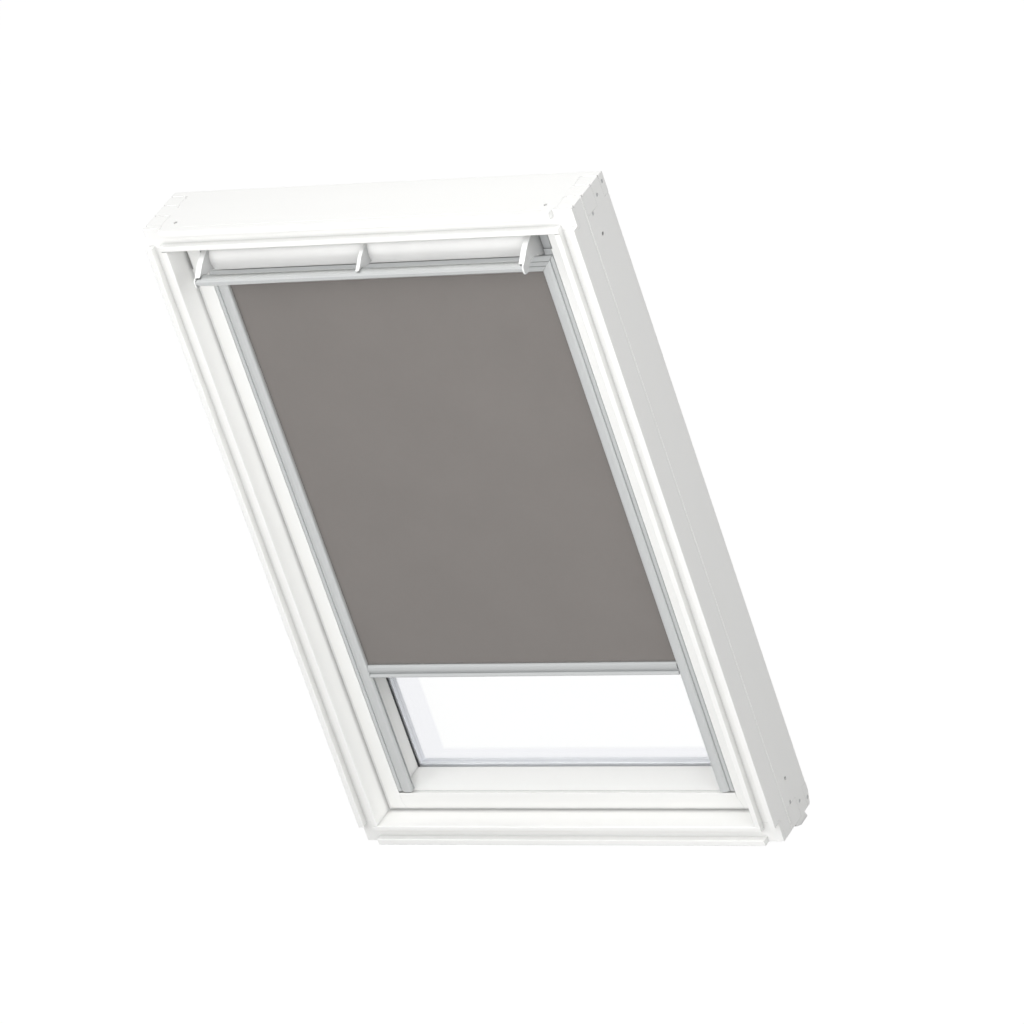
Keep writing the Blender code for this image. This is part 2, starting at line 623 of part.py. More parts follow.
def frame_end(top, holes, bites):
    """Top or bottom frame member, with its fingers and shortened rib."""
    def place(inset, depth):
        return FRONT_Y + depth, FRAME_HEIGHT - inset if top else inset

    half = FRAME_WIDTH / 2
    piece = extrusion("frame_top" if top else "frame_bottom", map_profile(frame_profile([]), place),
                      -half, half, ACROSS)
    own, others = finger_bands()
    edge = FRAME_HEIGHT if top else 0
    way = -1 if top else 1
    levels = sorted((edge - way * OVERCUT, edge + way * (MEMBER_WIDTH + OVERCUT)))
    rib_levels = sorted((edge - way * OVERCUT, edge + way * (RIB_WIDTH + OVERCUT)))
    floor = FRONT_Y + GROOVE_DEPTH
    boxes = []
    for side in (-1, 1):
        outer = side * (half + OVERCUT)
        for low, high in own:
            stop = side * (half - FINGER_REACH)
            spread = sorted((outer, stop))
            boxes.append(((spread[0], FRONT_Y + low - JOINT_GAP / 2, levels[0]),
                          (spread[1], FRONT_Y + high + JOINT_GAP / 2, levels[1])))
        rib = sorted((outer, side * (half - (TOP_RIB_STOP if top else BOTTOM_RIB_STOP))))
        boxes.append(((rib[0], FRONT_Y - OVERCUT, rib_levels[0]), (rib[1], floor, rib_levels[1])))
    combine(piece, as_cutter(solids(piece.name + "_finger_cuts", boxes=boxes)))
    boxes = []
    for side in (-1, 1):
        lip = sorted((side * (half + OVERCUT), side * (half - RIB_WIDTH - GROOVE_WIDTH)))
        boxes.append(((lip[0], FRONT_Y - OVERCUT, levels[0]), (lip[1], floor, levels[1])))
    combine(piece, as_cutter(solids(piece.name + "_corner_cuts", boxes=boxes)))
    line = [(-OVERCUT, END_LINE_DEPTH - END_LINE_WIDTH / 2), (0, END_LINE_DEPTH - END_LINE_WIDTH / 2),
            (END_LINE_CUT, END_LINE_DEPTH), (0, END_LINE_DEPTH + END_LINE_WIDTH / 2),
            (-OVERCUT, END_LINE_DEPTH + END_LINE_WIDTH / 2)]
    groove = extrusion(piece.name + "_line", map_profile(line, place), -half + END_LINE_STOP,
                       half - END_LINE_STOP, ACROSS)
    combine(piece, as_cutter(groove))
    combine(piece, holes)
    if top:
        combine(piece, bites)
        combine(piece, seam_hooks())
    else:
        for side in (-1, 1):
            combine(piece, back_corner(side))
    return finished(piece, "white_lacquer")


def pivot_plate(name, outer, thickness_end):
    """Steel plate between two x values, centred on the pivot."""
    spread = sorted((outer, thickness_end))
    low = (spread[0], FRONT_Y + PIVOT_DEPTH - PLATE_WIDTH / 2, PIVOT_Z - PLATE_HEIGHT / 2)
    high = (spread[1], FRONT_Y + PIVOT_DEPTH + PLATE_WIDTH / 2, PIVOT_Z + PLATE_HEIGHT / 2)
    return solids(name, boxes=[(low, high)])


def pivot_socket(side):
    """Frame-side hinge plate with the hole that the sash's pin turns in."""
    inner = side * (FRAME_WIDTH / 2 - MEMBER_WIDTH)
    piece = pivot_plate("pivot_socket_" + side_name(side), inner, inner + side * PLATE_THICKNESS)
    hole = ((inner - side * OVERCUT, FRONT_Y + PIVOT_DEPTH, PIVOT_Z),
            (inner + side * (PLATE_THICKNESS + OVERCUT), FRONT_Y + PIVOT_DEPTH, PIVOT_Z),
            PIN_RADIUS + SEAT_GAP)
    combine(piece, as_cutter(solids(piece.name + "_hole", rods=[hole])))
    return finished(piece, "zinc_steel")


def pivot_pin(side):
    """Sash-side hinge plate with its pin."""
    outer = side * SASH_WIDTH / 2
    piece = pivot_plate("pivot_pin_" + side_name(side), outer, outer - side * PLATE_THICKNESS)
    tip = side * (FRAME_WIDTH / 2 - MEMBER_WIDTH + PIN_REACH)
    pin = ((outer - side * PLATE_THICKNESS / 2, FRONT_Y + PIVOT_DEPTH, PIVOT_Z),
           (tip, FRONT_Y + PIVOT_DEPTH, PIVOT_Z), PIN_RADIUS)
    combine(piece, as_cutter(solids(piece.name + "_stub", rods=[pin])), "UNION")
    return finished(piece, "zinc_steel")


def reveal_profile(face, reveal, rebate, gap=0.0):
    """The inner side of a sash member in (inset, depth), from its face to its back."""
    recess = SASH_FRONT + RECESS_START
    return [
        (face + gap, recess),
        (face + gap - RECESS_CUT, recess),
        (face + gap - RECESS_CUT, RECESS_END),
        (face + gap, RECESS_END),
        (reveal + gap, REBATE_DEPTH),
        (rebate + gap, REBATE_DEPTH),
        (rebate + gap, SASH_BACK + (OVERCUT if gap else 0)),
    ]


def face_profile(face, back):
    """The front of a sash member in (inset, depth), from its back edge to its inner edge."""
    return [
        (0, back),
        (0, SASH_FRONT + SASH_SHOULDER, SHOULDER_ROUNDING),
        (face * 0.45, SASH_FRONT + SASH_SHOULDER * 0.36),
        (face * 0.8, SASH_FRONT + SASH_SHOULDER * 0.06),
        (face, SASH_FRONT, FACE_ROUNDING),
    ]


def sash_profile(face, reveal, rebate):
    """Outline of a sash member in (inset, depth)."""
    return face_profile(face, SASH_BACK) + reveal_profile(face, reveal, rebate)


def stile_plan(side, profile):
    """Turn a stile's profile into its outline in plan."""
    return map_profile(profile, lambda inset, depth: (side * (SASH_WIDTH / 2 - inset), FRONT_Y + depth))


def plate_pocket(side, outer, way):
    """Cutter for a pivot plate's pocket in a stile."""
    reach = sorted((outer + side * OVERCUT, outer - way * (PLATE_THICKNESS + SEAT_GAP)))
    height = PLATE_HEIGHT / 2 + SEAT_GAP
    width = PLATE_WIDTH / 2 + SEAT_GAP
    low = (reach[0], FRONT_Y + PIVOT_DEPTH - width, PIVOT_Z - height)
    high = (reach[1], FRONT_Y + PIVOT_DEPTH + width, PIVOT_Z + height)
    return low, high


def sash_stile(side):
    """Left or right sash member, cut back a little beside the flap."""
    profile = sash_profile(STILE_FACE, STILE_REVEAL, STILE_REBATE)
    piece = extrusion("sash_stile_" + side_name(side), stile_plan(side, profile),
                      SASH_BOTTOM - OVERCUT / 2, SASH_TOP, UPRIGHT)
    foot = [(-OVERCUT, SASH_BACK + OVERCUT)] + face_profile(RAIL_FACE, SASH_BACK + OVERCUT)
    foot += [(RAIL_FACE, -OVERCUT), (-OVERCUT, -OVERCUT)]
    corners = map_profile(foot, lambda inset, depth: (FRONT_Y + depth, SASH_BOTTOM + inset))
    outer = SASH_WIDTH / 2 + OVERCUT
    ends = sorted((side * outer, side * (outer - STILE_REVEAL - 2 * OVERCUT)))
    combine(piece, as_cutter(extrusion(piece.name + "_foot", corners, *ends, ACROSS)))
    edge = SASH_WIDTH / 2 - STILE_FACE
    x = sorted((side * (edge + NOTCH_CUT), side * (edge - OVERCUT)))
    notch = ((x[0], FRONT_Y, SASH_TOP - STILE_NOTCH),
             (x[1], FRONT_Y + RECESS_END + 1.5 * MM, SASH_TOP + OVERCUT))
    boxes = [notch, plate_pocket(side, side * SASH_WIDTH / 2, side)]
    combine(piece, as_cutter(solids(piece.name + "_cuts", boxes=boxes)))
    return finished(piece, "white_lacquer")


def stile_cutters():
    """Cutters that cope the rails to the stiles' inner sides."""
    edge = [(STILE_FACE + SEAT_GAP, 0)]
    back = [(-OVERCUT, SASH_BACK + OVERCUT), (-OVERCUT, 0)]
    profile = edge + reveal_profile(STILE_FACE, STILE_REVEAL, STILE_REBATE, SEAT_GAP) + back
    found = []
    for side in (-1, 1):
        cutter = extrusion("coping_" + side_name(side), stile_plan(side, profile),
                           SASH_BOTTOM - OVERCUT, SASH_TOP + OVERCUT, UPRIGHT)
        found.append(as_cutter(cutter))
    return found


def sash_rail_bottom(coping):
    """Bottom sash member, coped to the stiles."""
    profile = sash_profile(RAIL_FACE, RAIL_REVEAL, RAIL_REBATE)
    corners = map_profile(profile, lambda inset, depth: (FRONT_Y + depth, SASH_BOTTOM + inset))
    half = SASH_WIDTH / 2 - STILE_FACE / 2
    piece = extrusion("sash_rail_bottom", corners, -half, half, ACROSS)
    for cutter in coping:
        combine(piece, cutter)
    return finished(piece, "white_lacquer")


def sash_rail_top(coping, holes):
    """Top sash member, set back behind the flap."""
    profile = [
        (0, SASH_BACK),
        (0, TOP_RAIL_FRONT, FACE_ROUNDING),
        (TOP_RAIL_FACE, TOP_RAIL_FRONT),
        (RAIL_REVEAL, REBATE_DEPTH),
        (RAIL_REBATE, REBATE_DEPTH),
        (RAIL_REBATE, SASH_BACK),
    ]
    corners = map_profile(profile, lambda inset, depth: (FRONT_Y + depth, SASH_TOP - inset))
    half = SASH_WIDTH / 2 - STILE_FACE / 2
    piece = extrusion("sash_rail_top", corners, -half, half, ACROSS)
    for cutter in coping:
        combine(piece, cutter)
    combine(piece, holes)
    return finished(piece, "white_lacquer")


def slab(name, width, height, front, thickness, finish):
    """Flat plate centred in the sash."""
    low = (-width / 2, FRONT_Y + front, PIVOT_Z - height / 2)
    high = (width / 2, FRONT_Y + front + thickness, PIVOT_Z + height / 2)
    return finished(solids(name, boxes=[(low, high)]), finish)


def ring(name, width, height, front, thickness, side_band, end_band, finish):
    """Flat rectangular ring centred in the sash."""
    piece = slab(name, width, height, front, thickness, finish)
    hole = slab(name + "_hole", width - 2 * side_band, height - 2 * end_band,
                front - OVERCUT, thickness + 2 * OVERCUT, finish)
    return combine(piece, as_cutter(hole))


def glazing():
    """Panes, spacer, gasket and outer beads."""
    side_band = STILE_REVEAL - STILE_REBATE - PANE_EDGE_GAP
    end_band = RAIL_REVEAL - RAIL_REBATE - PANE_EDGE_GAP
    pieces = [
        ring("glazing_gasket", PANE_WIDTH, PANE_HEIGHT, GASKET_FRONT, GASKET_THICKNESS,
             side_band + GASKET_SHOWN, end_band - END_SET_BACK, "dark_rubber"),
        slab("inner_pane", PANE_WIDTH, PANE_HEIGHT, INNER_PANE_FRONT, PANE_THICKNESS, "glass"),
        ring("glazing_spacer", PANE_WIDTH - 2 * SPACER_INSET, PANE_HEIGHT - 2 * SPACER_INSET,
             SPACER_FRONT, SPACER_DEPTH, side_band - SPACER_INSET + SPACER_SHOWN,
             end_band - SPACER_INSET - END_SET_BACK, "spacer_grey"),
        slab("outer_pane", PANE_WIDTH, PANE_HEIGHT, OUTER_PANE_FRONT, PANE_THICKNESS, "glass"),
    ]
    front = FRONT_Y + SASH_BACK + SEAT_GAP
    back = front + BEAD_THICKNESS
    stile_band = STILE_REBATE + PANE_EDGE_GAP + BEAD_LAP
    rail_band = RAIL_REBATE + PANE_EDGE_GAP + BEAD_LAP
    for side in (-1, 1):
        x = sorted((side * SASH_WIDTH / 2, side * (SASH_WIDTH / 2 - stile_band)))
        box = ((x[0], front, SASH_BOTTOM), (x[1], back, SASH_TOP))
        pieces.append(finished(solids("outer_bead_" + side_name(side), boxes=[box]), "aluminium"))
    half = SASH_WIDTH / 2 - stile_band - SEAT_GAP
    for name, low, high in (("bottom", SASH_BOTTOM, SASH_BOTTOM + rail_band),
                            ("top", SASH_TOP - rail_band, SASH_TOP)):
        box = ((-half, front, low), (half, back, high))
        pieces.append(finished(solids("outer_bead_" + name, boxes=[box]), "aluminium"))
    return pieces


def sash_seal():
    """Rubber strip in the gap between sash and frame, up both sides and along the bottom."""
    half = SASH_WIDTH / 2 + SEAT_GAP
    reach = half + SEAL_THICKNESS
    under = SASH_BOTTOM - SEAT_GAP
    low = under - SEAL_THICKNESS
    top = SASH_TOP - STILE_NOTCH
    corners = [(-reach, top), (-reach, low), (reach, low), (reach, top),
               (half, top), (half, under), (-half, under), (-half, top)]
    start = -(FRONT_Y + SEAL_DEPTH + SEAL_WIDTH)
    return finished(extrusion("sash_seal", corners, start, start + SEAL_WIDTH, FACING), "dark_rubber")


def flap_point(radius, angle):
    """Point (y, z) at an angle from the room side, turning downwards."""
    turn = radians(angle)
    return FLAP_AXIS_Y - radius * cos(turn), FLAP_AXIS_Z - radius * sin(turn)


def flap_arc(radius, start, end, steps):
    """Points along a circle about the flap's axis."""
    return [flap_point(radius, start + (end - start) * step / steps) for step in range(steps + 1)]


def bar_corners(wall=0.0):
    """Outline of the control bar in (y, z), flat on top and round in front, or of its bore."""
    y = FLAP_AXIS_Y - BAR_REACH
    z = FLAP_AXIS_Z - BAR_DROP
    height = BAR_HEIGHT - 2 * wall
    depth = BAR_DEPTH - 2 * wall
    back = y + depth / 2
    front = y - depth / 2
    return [
        (back, z + height / 2, 1.5 * MM),
        (front, z + height / 2, height * 0.42),
        (front, z - height / 2, height * 0.42),
        (back - depth * 0.28, z - height * 0.44, height * 0.2),
        (back, z - height * 0.05, 1.5 * MM),
    ]


def arm_edges():
    """Front and back edges of an arm, from the flap to the bar's flat top, in (y, z)."""
    bar_top = FLAP_AXIS_Z - BAR_DROP + BAR_HEIGHT / 2 + SEAT_GAP
    y = FLAP_AXIS_Y - BAR_REACH
    front = [
        flap_point(FLAP_RADIUS + 3.4 * MM, -42),
        (FLAP_AXIS_Y - BAR_REACH * 0.585, FLAP_AXIS_Z + 15.5 * MM),
        (FLAP_AXIS_Y - BAR_REACH * 0.76, FLAP_AXIS_Z + 9.3 * MM),
        (FLAP_AXIS_Y - BAR_REACH * 0.915, FLAP_AXIS_Z + 1.2 * MM),
        (y - BAR_DEPTH * 0.20, bar_top),
    ]
    back = [
        (y + BAR_DEPTH / 2 + 0.5 * MM, bar_top),
        (FLAP_AXIS_Y - BAR_REACH * 0.80, FLAP_AXIS_Z - 9.5 * MM),
        (FLAP_AXIS_Y - BAR_REACH * 0.69, FLAP_AXIS_Z - 11.6 * MM),
        (FLAP_AXIS_Y - BAR_REACH * 0.51, FLAP_AXIS_Z - 11.7 * MM),
    ]
    return front, back


def cap_corners():
    """Outline of the plate over the bar's end, in (y, z), with its gusset under the arm."""
    y = FLAP_AXIS_Y - BAR_REACH
    z = FLAP_AXIS_Z - BAR_DROP
    front = y - BAR_DEPTH / 2 - CAP_RIM
    top = z + BAR_HEIGHT / 2 + CAP_RIM
    low = z - BAR_HEIGHT / 2 - CAP_RIM
    return [
        (y + BAR_DEPTH * 1.12, top),
        (front, top, BAR_HEIGHT * 0.42),
        (front, low, BAR_HEIGHT * 0.42),
        (y + BAR_DEPTH * 0.06, low, 1.5 * MM),
        (y + BAR_DEPTH * 0.36, z - BAR_HEIGHT * 0.20, 3 * MM),
        (y + BAR_DEPTH * 1.12, z + BAR_HEIGHT * 0.12),
    ]


def flap_end(side):
    """End arm: hub plate, arm to the control bar, cap over the bar's end and pivot pin."""
    front, back = arm_edges()
    low_front = flap_arc(FLAP_RADIUS, 32, FLAP_LOW_ANGLE, 2)
    under = flap_arc(FLAP_SWEEP_RADIUS, FLAP_LOW_ANGLE + 9, 97, 6)
    back_edge = [(FLAP_AXIS_Y + 2.2 * MM, FLAP_AXIS_Z - 13 * MM)]
    hub = flap_arc(FLAP_HUB_RADIUS, 118, 262, 10)
    high_front = flap_arc(FLAP_RADIUS, 360 + FLAP_TOP_ANGLE, 360 - 50, 3)
    corners = front + back + low_front + under + back_edge + hub + high_front
    ends = sorted((side * ARM_INNER, side * FLAP_HALF_WIDTH))
    piece = extrusion("flap_end_" + side_name(side), corners, *ends, ACROSS)
    ends = sorted((side * (FLAP_HALF_WIDTH - CAP_THICKNESS), side * FLAP_HALF_WIDTH))
    cap = extrusion(piece.name + "_cap", cap_corners(), *ends, ACROSS)
    combine(piece, as_cutter(cap), "UNION")
    start = side * (FLAP_HALF_WIDTH - ARM_THICKNESS / 2)
    stop = side * (FLAP_HALF_WIDTH + BEARING_GAP + FLAP_PIN_REACH)
    pin = ((start, FLAP_AXIS_Y, FLAP_AXIS_Z), (stop, FLAP_AXIS_Y, FLAP_AXIS_Z), FLAP_PIN_RADIUS, 16)
    combine(piece, as_cutter(solids(piece.name + "_stub", rods=[pin])), "UNION")
    return finished(piece, "white_plastic")


def flap_cover():
    """Curved cover of the ventilation flap."""
    outer = flap_arc(FLAP_RADIUS, FLAP_TOP_ANGLE, FLAP_LOW_ANGLE, 16)
    inner = flap_arc(FLAP_RADIUS - FLAP_WALL, FLAP_LOW_ANGLE, FLAP_TOP_ANGLE, 16)
    half = ARM_INNER - SEAT_GAP
    return finished(extrusion("flap_cover", outer + inner, -half, half, ACROSS), "white_plastic")


def middle_arm():
    """Middle arm, from the flap's cover to the top of the control bar."""
    front, back = arm_edges()
    start = flap_point(FLAP_RADIUS + 0.4 * MM, -36)
    root = flap_arc(FLAP_RADIUS + SEAT_GAP, 23, -34, 8)
    corners = [start] + front[1:] + back + root
    half = MIDDLE_ARM_THICKNESS / 2
    return finished(extrusion("middle_arm", corners, -half, half, ACROSS), "white_plastic")


def control_bar():
    """Aluminium bar that opens the window."""
    half = FLAP_HALF_WIDTH - CAP_THICKNESS - SEAT_GAP
    piece = extrusion("control_bar", bar_corners(), -half, half, ACROSS)
    bore = extrusion("control_bar_bore", bar_corners(BAR_WALL), -half - OVERCUT, half + OVERCUT, ACROSS)
    combine(piece, as_cutter(bore))
    return finished(piece, "aluminium")


def flap_bearing(side):
    """Block on a stile's inner side that the flap's pin turns in."""
    seat = STILE_FACE + SEAT_GAP
    free = FLAP_SIDE_INSET - BEARING_GAP
    profile = [
        (seat, BEARING_FRONT),
        (seat, RECESS_END),
        (seat + (BEARING_BACK - RECESS_END) * REVEAL_SLOPE, BEARING_BACK),
        (free, BEARING_BACK),
        (free, BEARING_FRONT),
    ]
    piece = extrusion("flap_bearing_" + side_name(side), stile_plan(side, profile),
                      CASING_TOP + SEAT_GAP, FLAP_AXIS_Z + BEARING_HEIGHT / 2, UPRIGHT)
    x = sorted((side * (SASH_WIDTH / 2 - free - OVERCUT), side * SASH_WIDTH / 2))
    low = (x[0], FRONT_Y, SASH_TOP - STILE_NOTCH)
    high = (x[1], FRONT_Y + BEARING_FRONT + BEARING_STEP, SASH_TOP)
    combine(piece, as_cutter(solids(piece.name + "_step", boxes=[(low, high)])))
    inner = side * (SASH_WIDTH / 2 - free)
    hole = ((inner - side * OVERCUT, FLAP_AXIS_Y, FLAP_AXIS_Z),
            (inner + side * (FLAP_PIN_REACH + 1 * MM), FLAP_AXIS_Y, FLAP_AXIS_Z),
            FLAP_PIN_RADIUS + SEAT_GAP, 16)
    combine(piece, as_cutter(solids(piece.name + "_hole", rods=[hole])))
    return finished(piece, "grey_plastic")


def channel_corners(side):
    """A side channel's outline in plan: a C that is open towards the fabric."""
    wall = CHANNEL_WALL
    slot_back = CHANNEL_BACK - wall
    slot_front = slot_back - SLOT_HEIGHT
    crown = CHANNEL_FRONT
    width = CHANNEL_WIDTH
    profile = [
        (0, slot_front),
        (0, crown + 3.2 * MM),
        (1.2 * MM, crown + 1.2 * MM),
        (4.0 * MM, crown + 0.2 * MM),
        (9.0 * MM, crown),
        (14.0 * MM, crown + 0.8 * MM),
        (18.0 * MM, crown + 2.6 * MM),
        (18.4 * MM, crown + 4.6 * MM),
        (20.4 * MM, crown + 4.6 * MM),
        (20.8 * MM, crown + 2.8 * MM),
        (width - 0.8 * MM, crown + 2.6 * MM),
        (width, crown + 3.4 * MM),
        (width, CHANNEL_BACK),
        (0, CHANNEL_BACK),
        (0, slot_back),
        (width - wall, slot_back),
        (width - wall, crown + CROWN_DEPTH),
        (17.2 * MM, crown + CROWN_DEPTH),
        (16.4 * MM, crown + 4.0 * MM),
        (9.0 * MM, crown + 1.8 * MM),
        (3.0 * MM, crown + 2.4 * MM),
        (wall, crown + 4.0 * MM),
        (wall, slot_front),
    ]
    return map_profile(profile, lambda inset, depth: (side * (CHANNEL_INNER + inset), FRONT_Y + depth))


def mitre_corners(side, gap, upper):
    """Triangle above or below the mitre line, in (x, z)."""
    low = (side * (CHANNEL_INNER - gap), CASING_BOTTOM)
    run = OVERCUT * 2
    slope = CASING_HEIGHT / CHANNEL_WIDTH
    start = (low[0] - side * run, low[1] - slope * run)
    end = (low[0] + side * (CHANNEL_WIDTH + 2 * run), low[1] + slope * (CHANNEL_WIDTH + 2 * run))
    if upper:
        return [start, end, (start[0], end[1])]
    return [start, end, (end[0], start[1])]


def channel(side):
    """Aluminium side channel, mitred to the casing."""
    piece = extrusion("channel_" + side_name(side), channel_corners(side),
                      CHANNEL_BOTTOM, CASING_TOP, UPRIGHT)
    cutter = extrusion(piece.name + "_mitre", mitre_corners(side, 0, True),
                       -(FRONT_Y + CHANNEL_BACK + OVERCUT), -FRONT_Y, FACING)
    combine(piece, as_cutter(cutter))
    x = sorted((side * (CHANNEL_INNER - OVERCUT), side * (CHANNEL_OUTER + OVERCUT)))
    low = (x[0], FRONT_Y + CHANNEL_FRONT + CROWN_DEPTH, CASING_BOTTOM - SEAT_GAP)
    high = (x[1], FRONT_Y + CHANNEL_BACK + OVERCUT, CASING_TOP + OVERCUT)
    combine(piece, as_cutter(solids(piece.name + "_step", boxes=[(low, high)])))
    return finished(piece, "aluminium")


def casing_corners():
    """The casing's outline in (y, z), open below for the fabric."""
    top = CASING_TOP
    low = CASING_BOTTOM
    wall = CASING_WALL
    slot_back = FABRIC_DEPTH + 2.7 * MM
    slot_front = FABRIC_DEPTH - 2.3 * MM
    ridge = CASING_FRONT
    height = CASING_HEIGHT
    profile = [
        (ridge + 1.0 * MM, low),
        (ridge, low + 1.2 * MM),
        (ridge, low + height * 0.31),
        (ridge + 1.5 * MM, low + height * 0.33),
        (ridge + 1.5 * MM, low + height * 0.43),
        (ridge, low + height * 0.46),
        (ridge, low + height * 0.60),
        (ridge + 1.2 * MM, low + height * 0.62),
        (ridge + 1.2 * MM, low + height * 0.85),
        (ridge, low + height * 0.87),
        (ridge, top - 0.8 * MM),
        (ridge + 0.8 * MM, top),
        (CASING_BACK - wall, top),
        (CASING_BACK - wall, top + FLANGE_HEIGHT),
        (CASING_BACK, top + FLANGE_HEIGHT),
        (CASING_BACK, low),
        (slot_back, low),
        (slot_back, low + wall),
        (CASING_BACK - wall, low + wall),
        (CASING_BACK - wall, top - wall),
        (ridge + CASING_FRONT_WALL, top - wall),
        (ridge + CASING_FRONT_WALL, low + wall),
        (slot_front, low + wall),
        (slot_front, low),
    ]
    return [(FRONT_Y + depth, z) for depth, z in profile]


def blind_casing(holes):
    """Aluminium casing over the roller, mitred in front to the channels."""
    piece = extrusion("blind_casing", casing_corners(), -CHANNEL_OUTER, CHANNEL_OUTER, ACROSS)
    for side in (-1, 1):
        cutter = extrusion("casing_mitre_" + side_name(side), mitre_corners(side, SEAT_GAP * 1.5, False),
                           -(FRONT_Y + CHANNEL_BACK + SEAT_GAP), -FRONT_Y, FACING)
        combine(piece, as_cutter(cutter))
        x = sorted((side * CASING_HALF, side * (CHANNEL_OUTER + OVERCUT)))
        low = (x[0], FRONT_Y + CHANNEL_BACK, CASING_BOTTOM - OVERCUT)
        high = (x[1], FRONT_Y + CASING_BACK + OVERCUT, CASING_TOP + FLANGE_HEIGHT + OVERCUT)
        combine(piece, as_cutter(solids("casing_step_" + side_name(side), boxes=[(low, high)])))
    combine(piece, holes)
    return finished(piece, "aluminium")


def flange_rods(radius, start, end):
    """Rods at the casing's flange screws between two depths."""
    z = CASING_TOP + FLANGE_HEIGHT * 0.65
    places = [share * CASING_HALF for share in FLANGE_SCREWS]
    return [((x, FRONT_Y + start, z), (x, FRONT_Y + end, z), radius, 12) for x in places]


def flange_holes():
    """Cutter for the flange screws' holes in the casing and the top rail."""
    end = CASING_BACK + SEAT_GAP + FLANGE_SCREW_LENGTH + SEAT_GAP
    start = CASING_BACK - CASING_WALL - OVERCUT
    rods = flange_rods(FLANGE_SCREW_SHANK + SEAT_GAP, start, end)
    return as_cutter(solids("flange_holes", rods=rods))


def casing_screws():
    """Pan-head screws that hold the casing's flange to the top rail."""
    face = CASING_BACK - CASING_WALL - SEAT_GAP
    front = face - FLANGE_SCREW_HEAD_HEIGHT
    heads = flange_rods(FLANGE_SCREW_HEAD, front, face)
    shanks = flange_rods(FLANGE_SCREW_SHANK, face - FLANGE_SCREW_HEAD_HEIGHT / 2, CASING_BACK + FLANGE_SCREW_LENGTH)
    pieces = []
    for number, (head, shank) in enumerate(zip(heads, shanks), start=1):
        piece = solids(f"casing_screw_{number}", rods=[head])
        combine(piece, as_cutter(solids(piece.name + "_shank", rods=[shank])), "UNION")
        pieces.append(finished(piece, "zinc_steel"))
    return pieces


def roller_bracket(side):
    """End plate in the casing that carries the roller's axle."""
    inner = side * BRACKET_INNER
    x = sorted((inner, inner + side * BRACKET_THICKNESS))
    clear = CASING_WALL + SEAT_GAP
    low = (x[0], FRONT_Y + CHANNEL_BACK + 2 * SEAT_GAP, CASING_BOTTOM + clear)
    high = (x[1], FRONT_Y + CASING_BACK - clear, CASING_TOP - clear)
    piece = solids("roller_bracket_" + side_name(side), boxes=[(low, high)])
    hole = ((x[0] - OVERCUT, FRONT_Y + ROLLER_DEPTH, ROLLER_Z),
            (x[1] + OVERCUT, FRONT_Y + ROLLER_DEPTH, ROLLER_Z), AXLE_RADIUS + SEAT_GAP, 16)
    combine(piece, as_cutter(solids(piece.name + "_hole", rods=[hole])))
    return finished(piece, "grey_plastic")


def roller_line(start, end):
    """Two points on the roller's axis."""
    return (start, FRONT_Y + ROLLER_DEPTH, ROLLER_Z), (end, FRONT_Y + ROLLER_DEPTH, ROLLER_Z)


def roller_axle():
    """Fixed steel axle through the roller."""
    half = BRACKET_INNER + BRACKET_THICKNESS + AXLE_END
    rod = (*roller_line(-half, half), AXLE_RADIUS, 16)
    return finished(solids("roller_axle", rods=[rod]), "zinc_steel")


def spring_motor():
    """Spring capsule on the axle, inside the roller."""
    start = -FABRIC_HALF_WIDTH + PLUG_LENGTH + 1 * MM
    outer = ROLLER_RADIUS - ROLLER_WALL - SEAT_GAP
    return finished(tube("spring_motor", *roller_line(start, start + MOTOR_LENGTH), outer,
                         AXLE_RADIUS + SEAT_GAP, 20), "grey_plastic")


def roller_parts():
    """Tube, end plugs and the fabric still wound on the tube."""
    half = FABRIC_HALF_WIDTH
    inner = ROLLER_RADIUS - ROLLER_WALL
    pieces = [
        finished(tube("roller_tube", *roller_line(-half, half), ROLLER_RADIUS, inner, 28), "aluminium"),
        finished(tube("wound_fabric", *roller_line(-half, half), WOUND_RADIUS, WOUND_INNER, 28), "grey_fabric"),
    ]
    for side in (-1, 1):
        ends = sorted((side * half, side * (half - PLUG_LENGTH)))
        plug = tube("roller_plug_" + side_name(side), *roller_line(*ends), inner - SEAT_GAP,
                    AXLE_RADIUS + SEAT_GAP, 20)
        pieces.append(finished(plug, "grey_plastic"))
    return pieces


def blind_fabric():
    """The drawn fabric, from the roller to the bottom bar."""
    middle = FRONT_Y + FABRIC_DEPTH
    low = (-FABRIC_HALF_WIDTH, middle - FABRIC_THICKNESS / 2, BOTTOM_BAR_TOP - FABRIC_GRIP)
    high = (FABRIC_HALF_WIDTH, middle + FABRIC_THICKNESS / 2, ROLLER_Z)
    return finished(solids("blind_fabric", boxes=[(low, high)]), "grey_fabric")


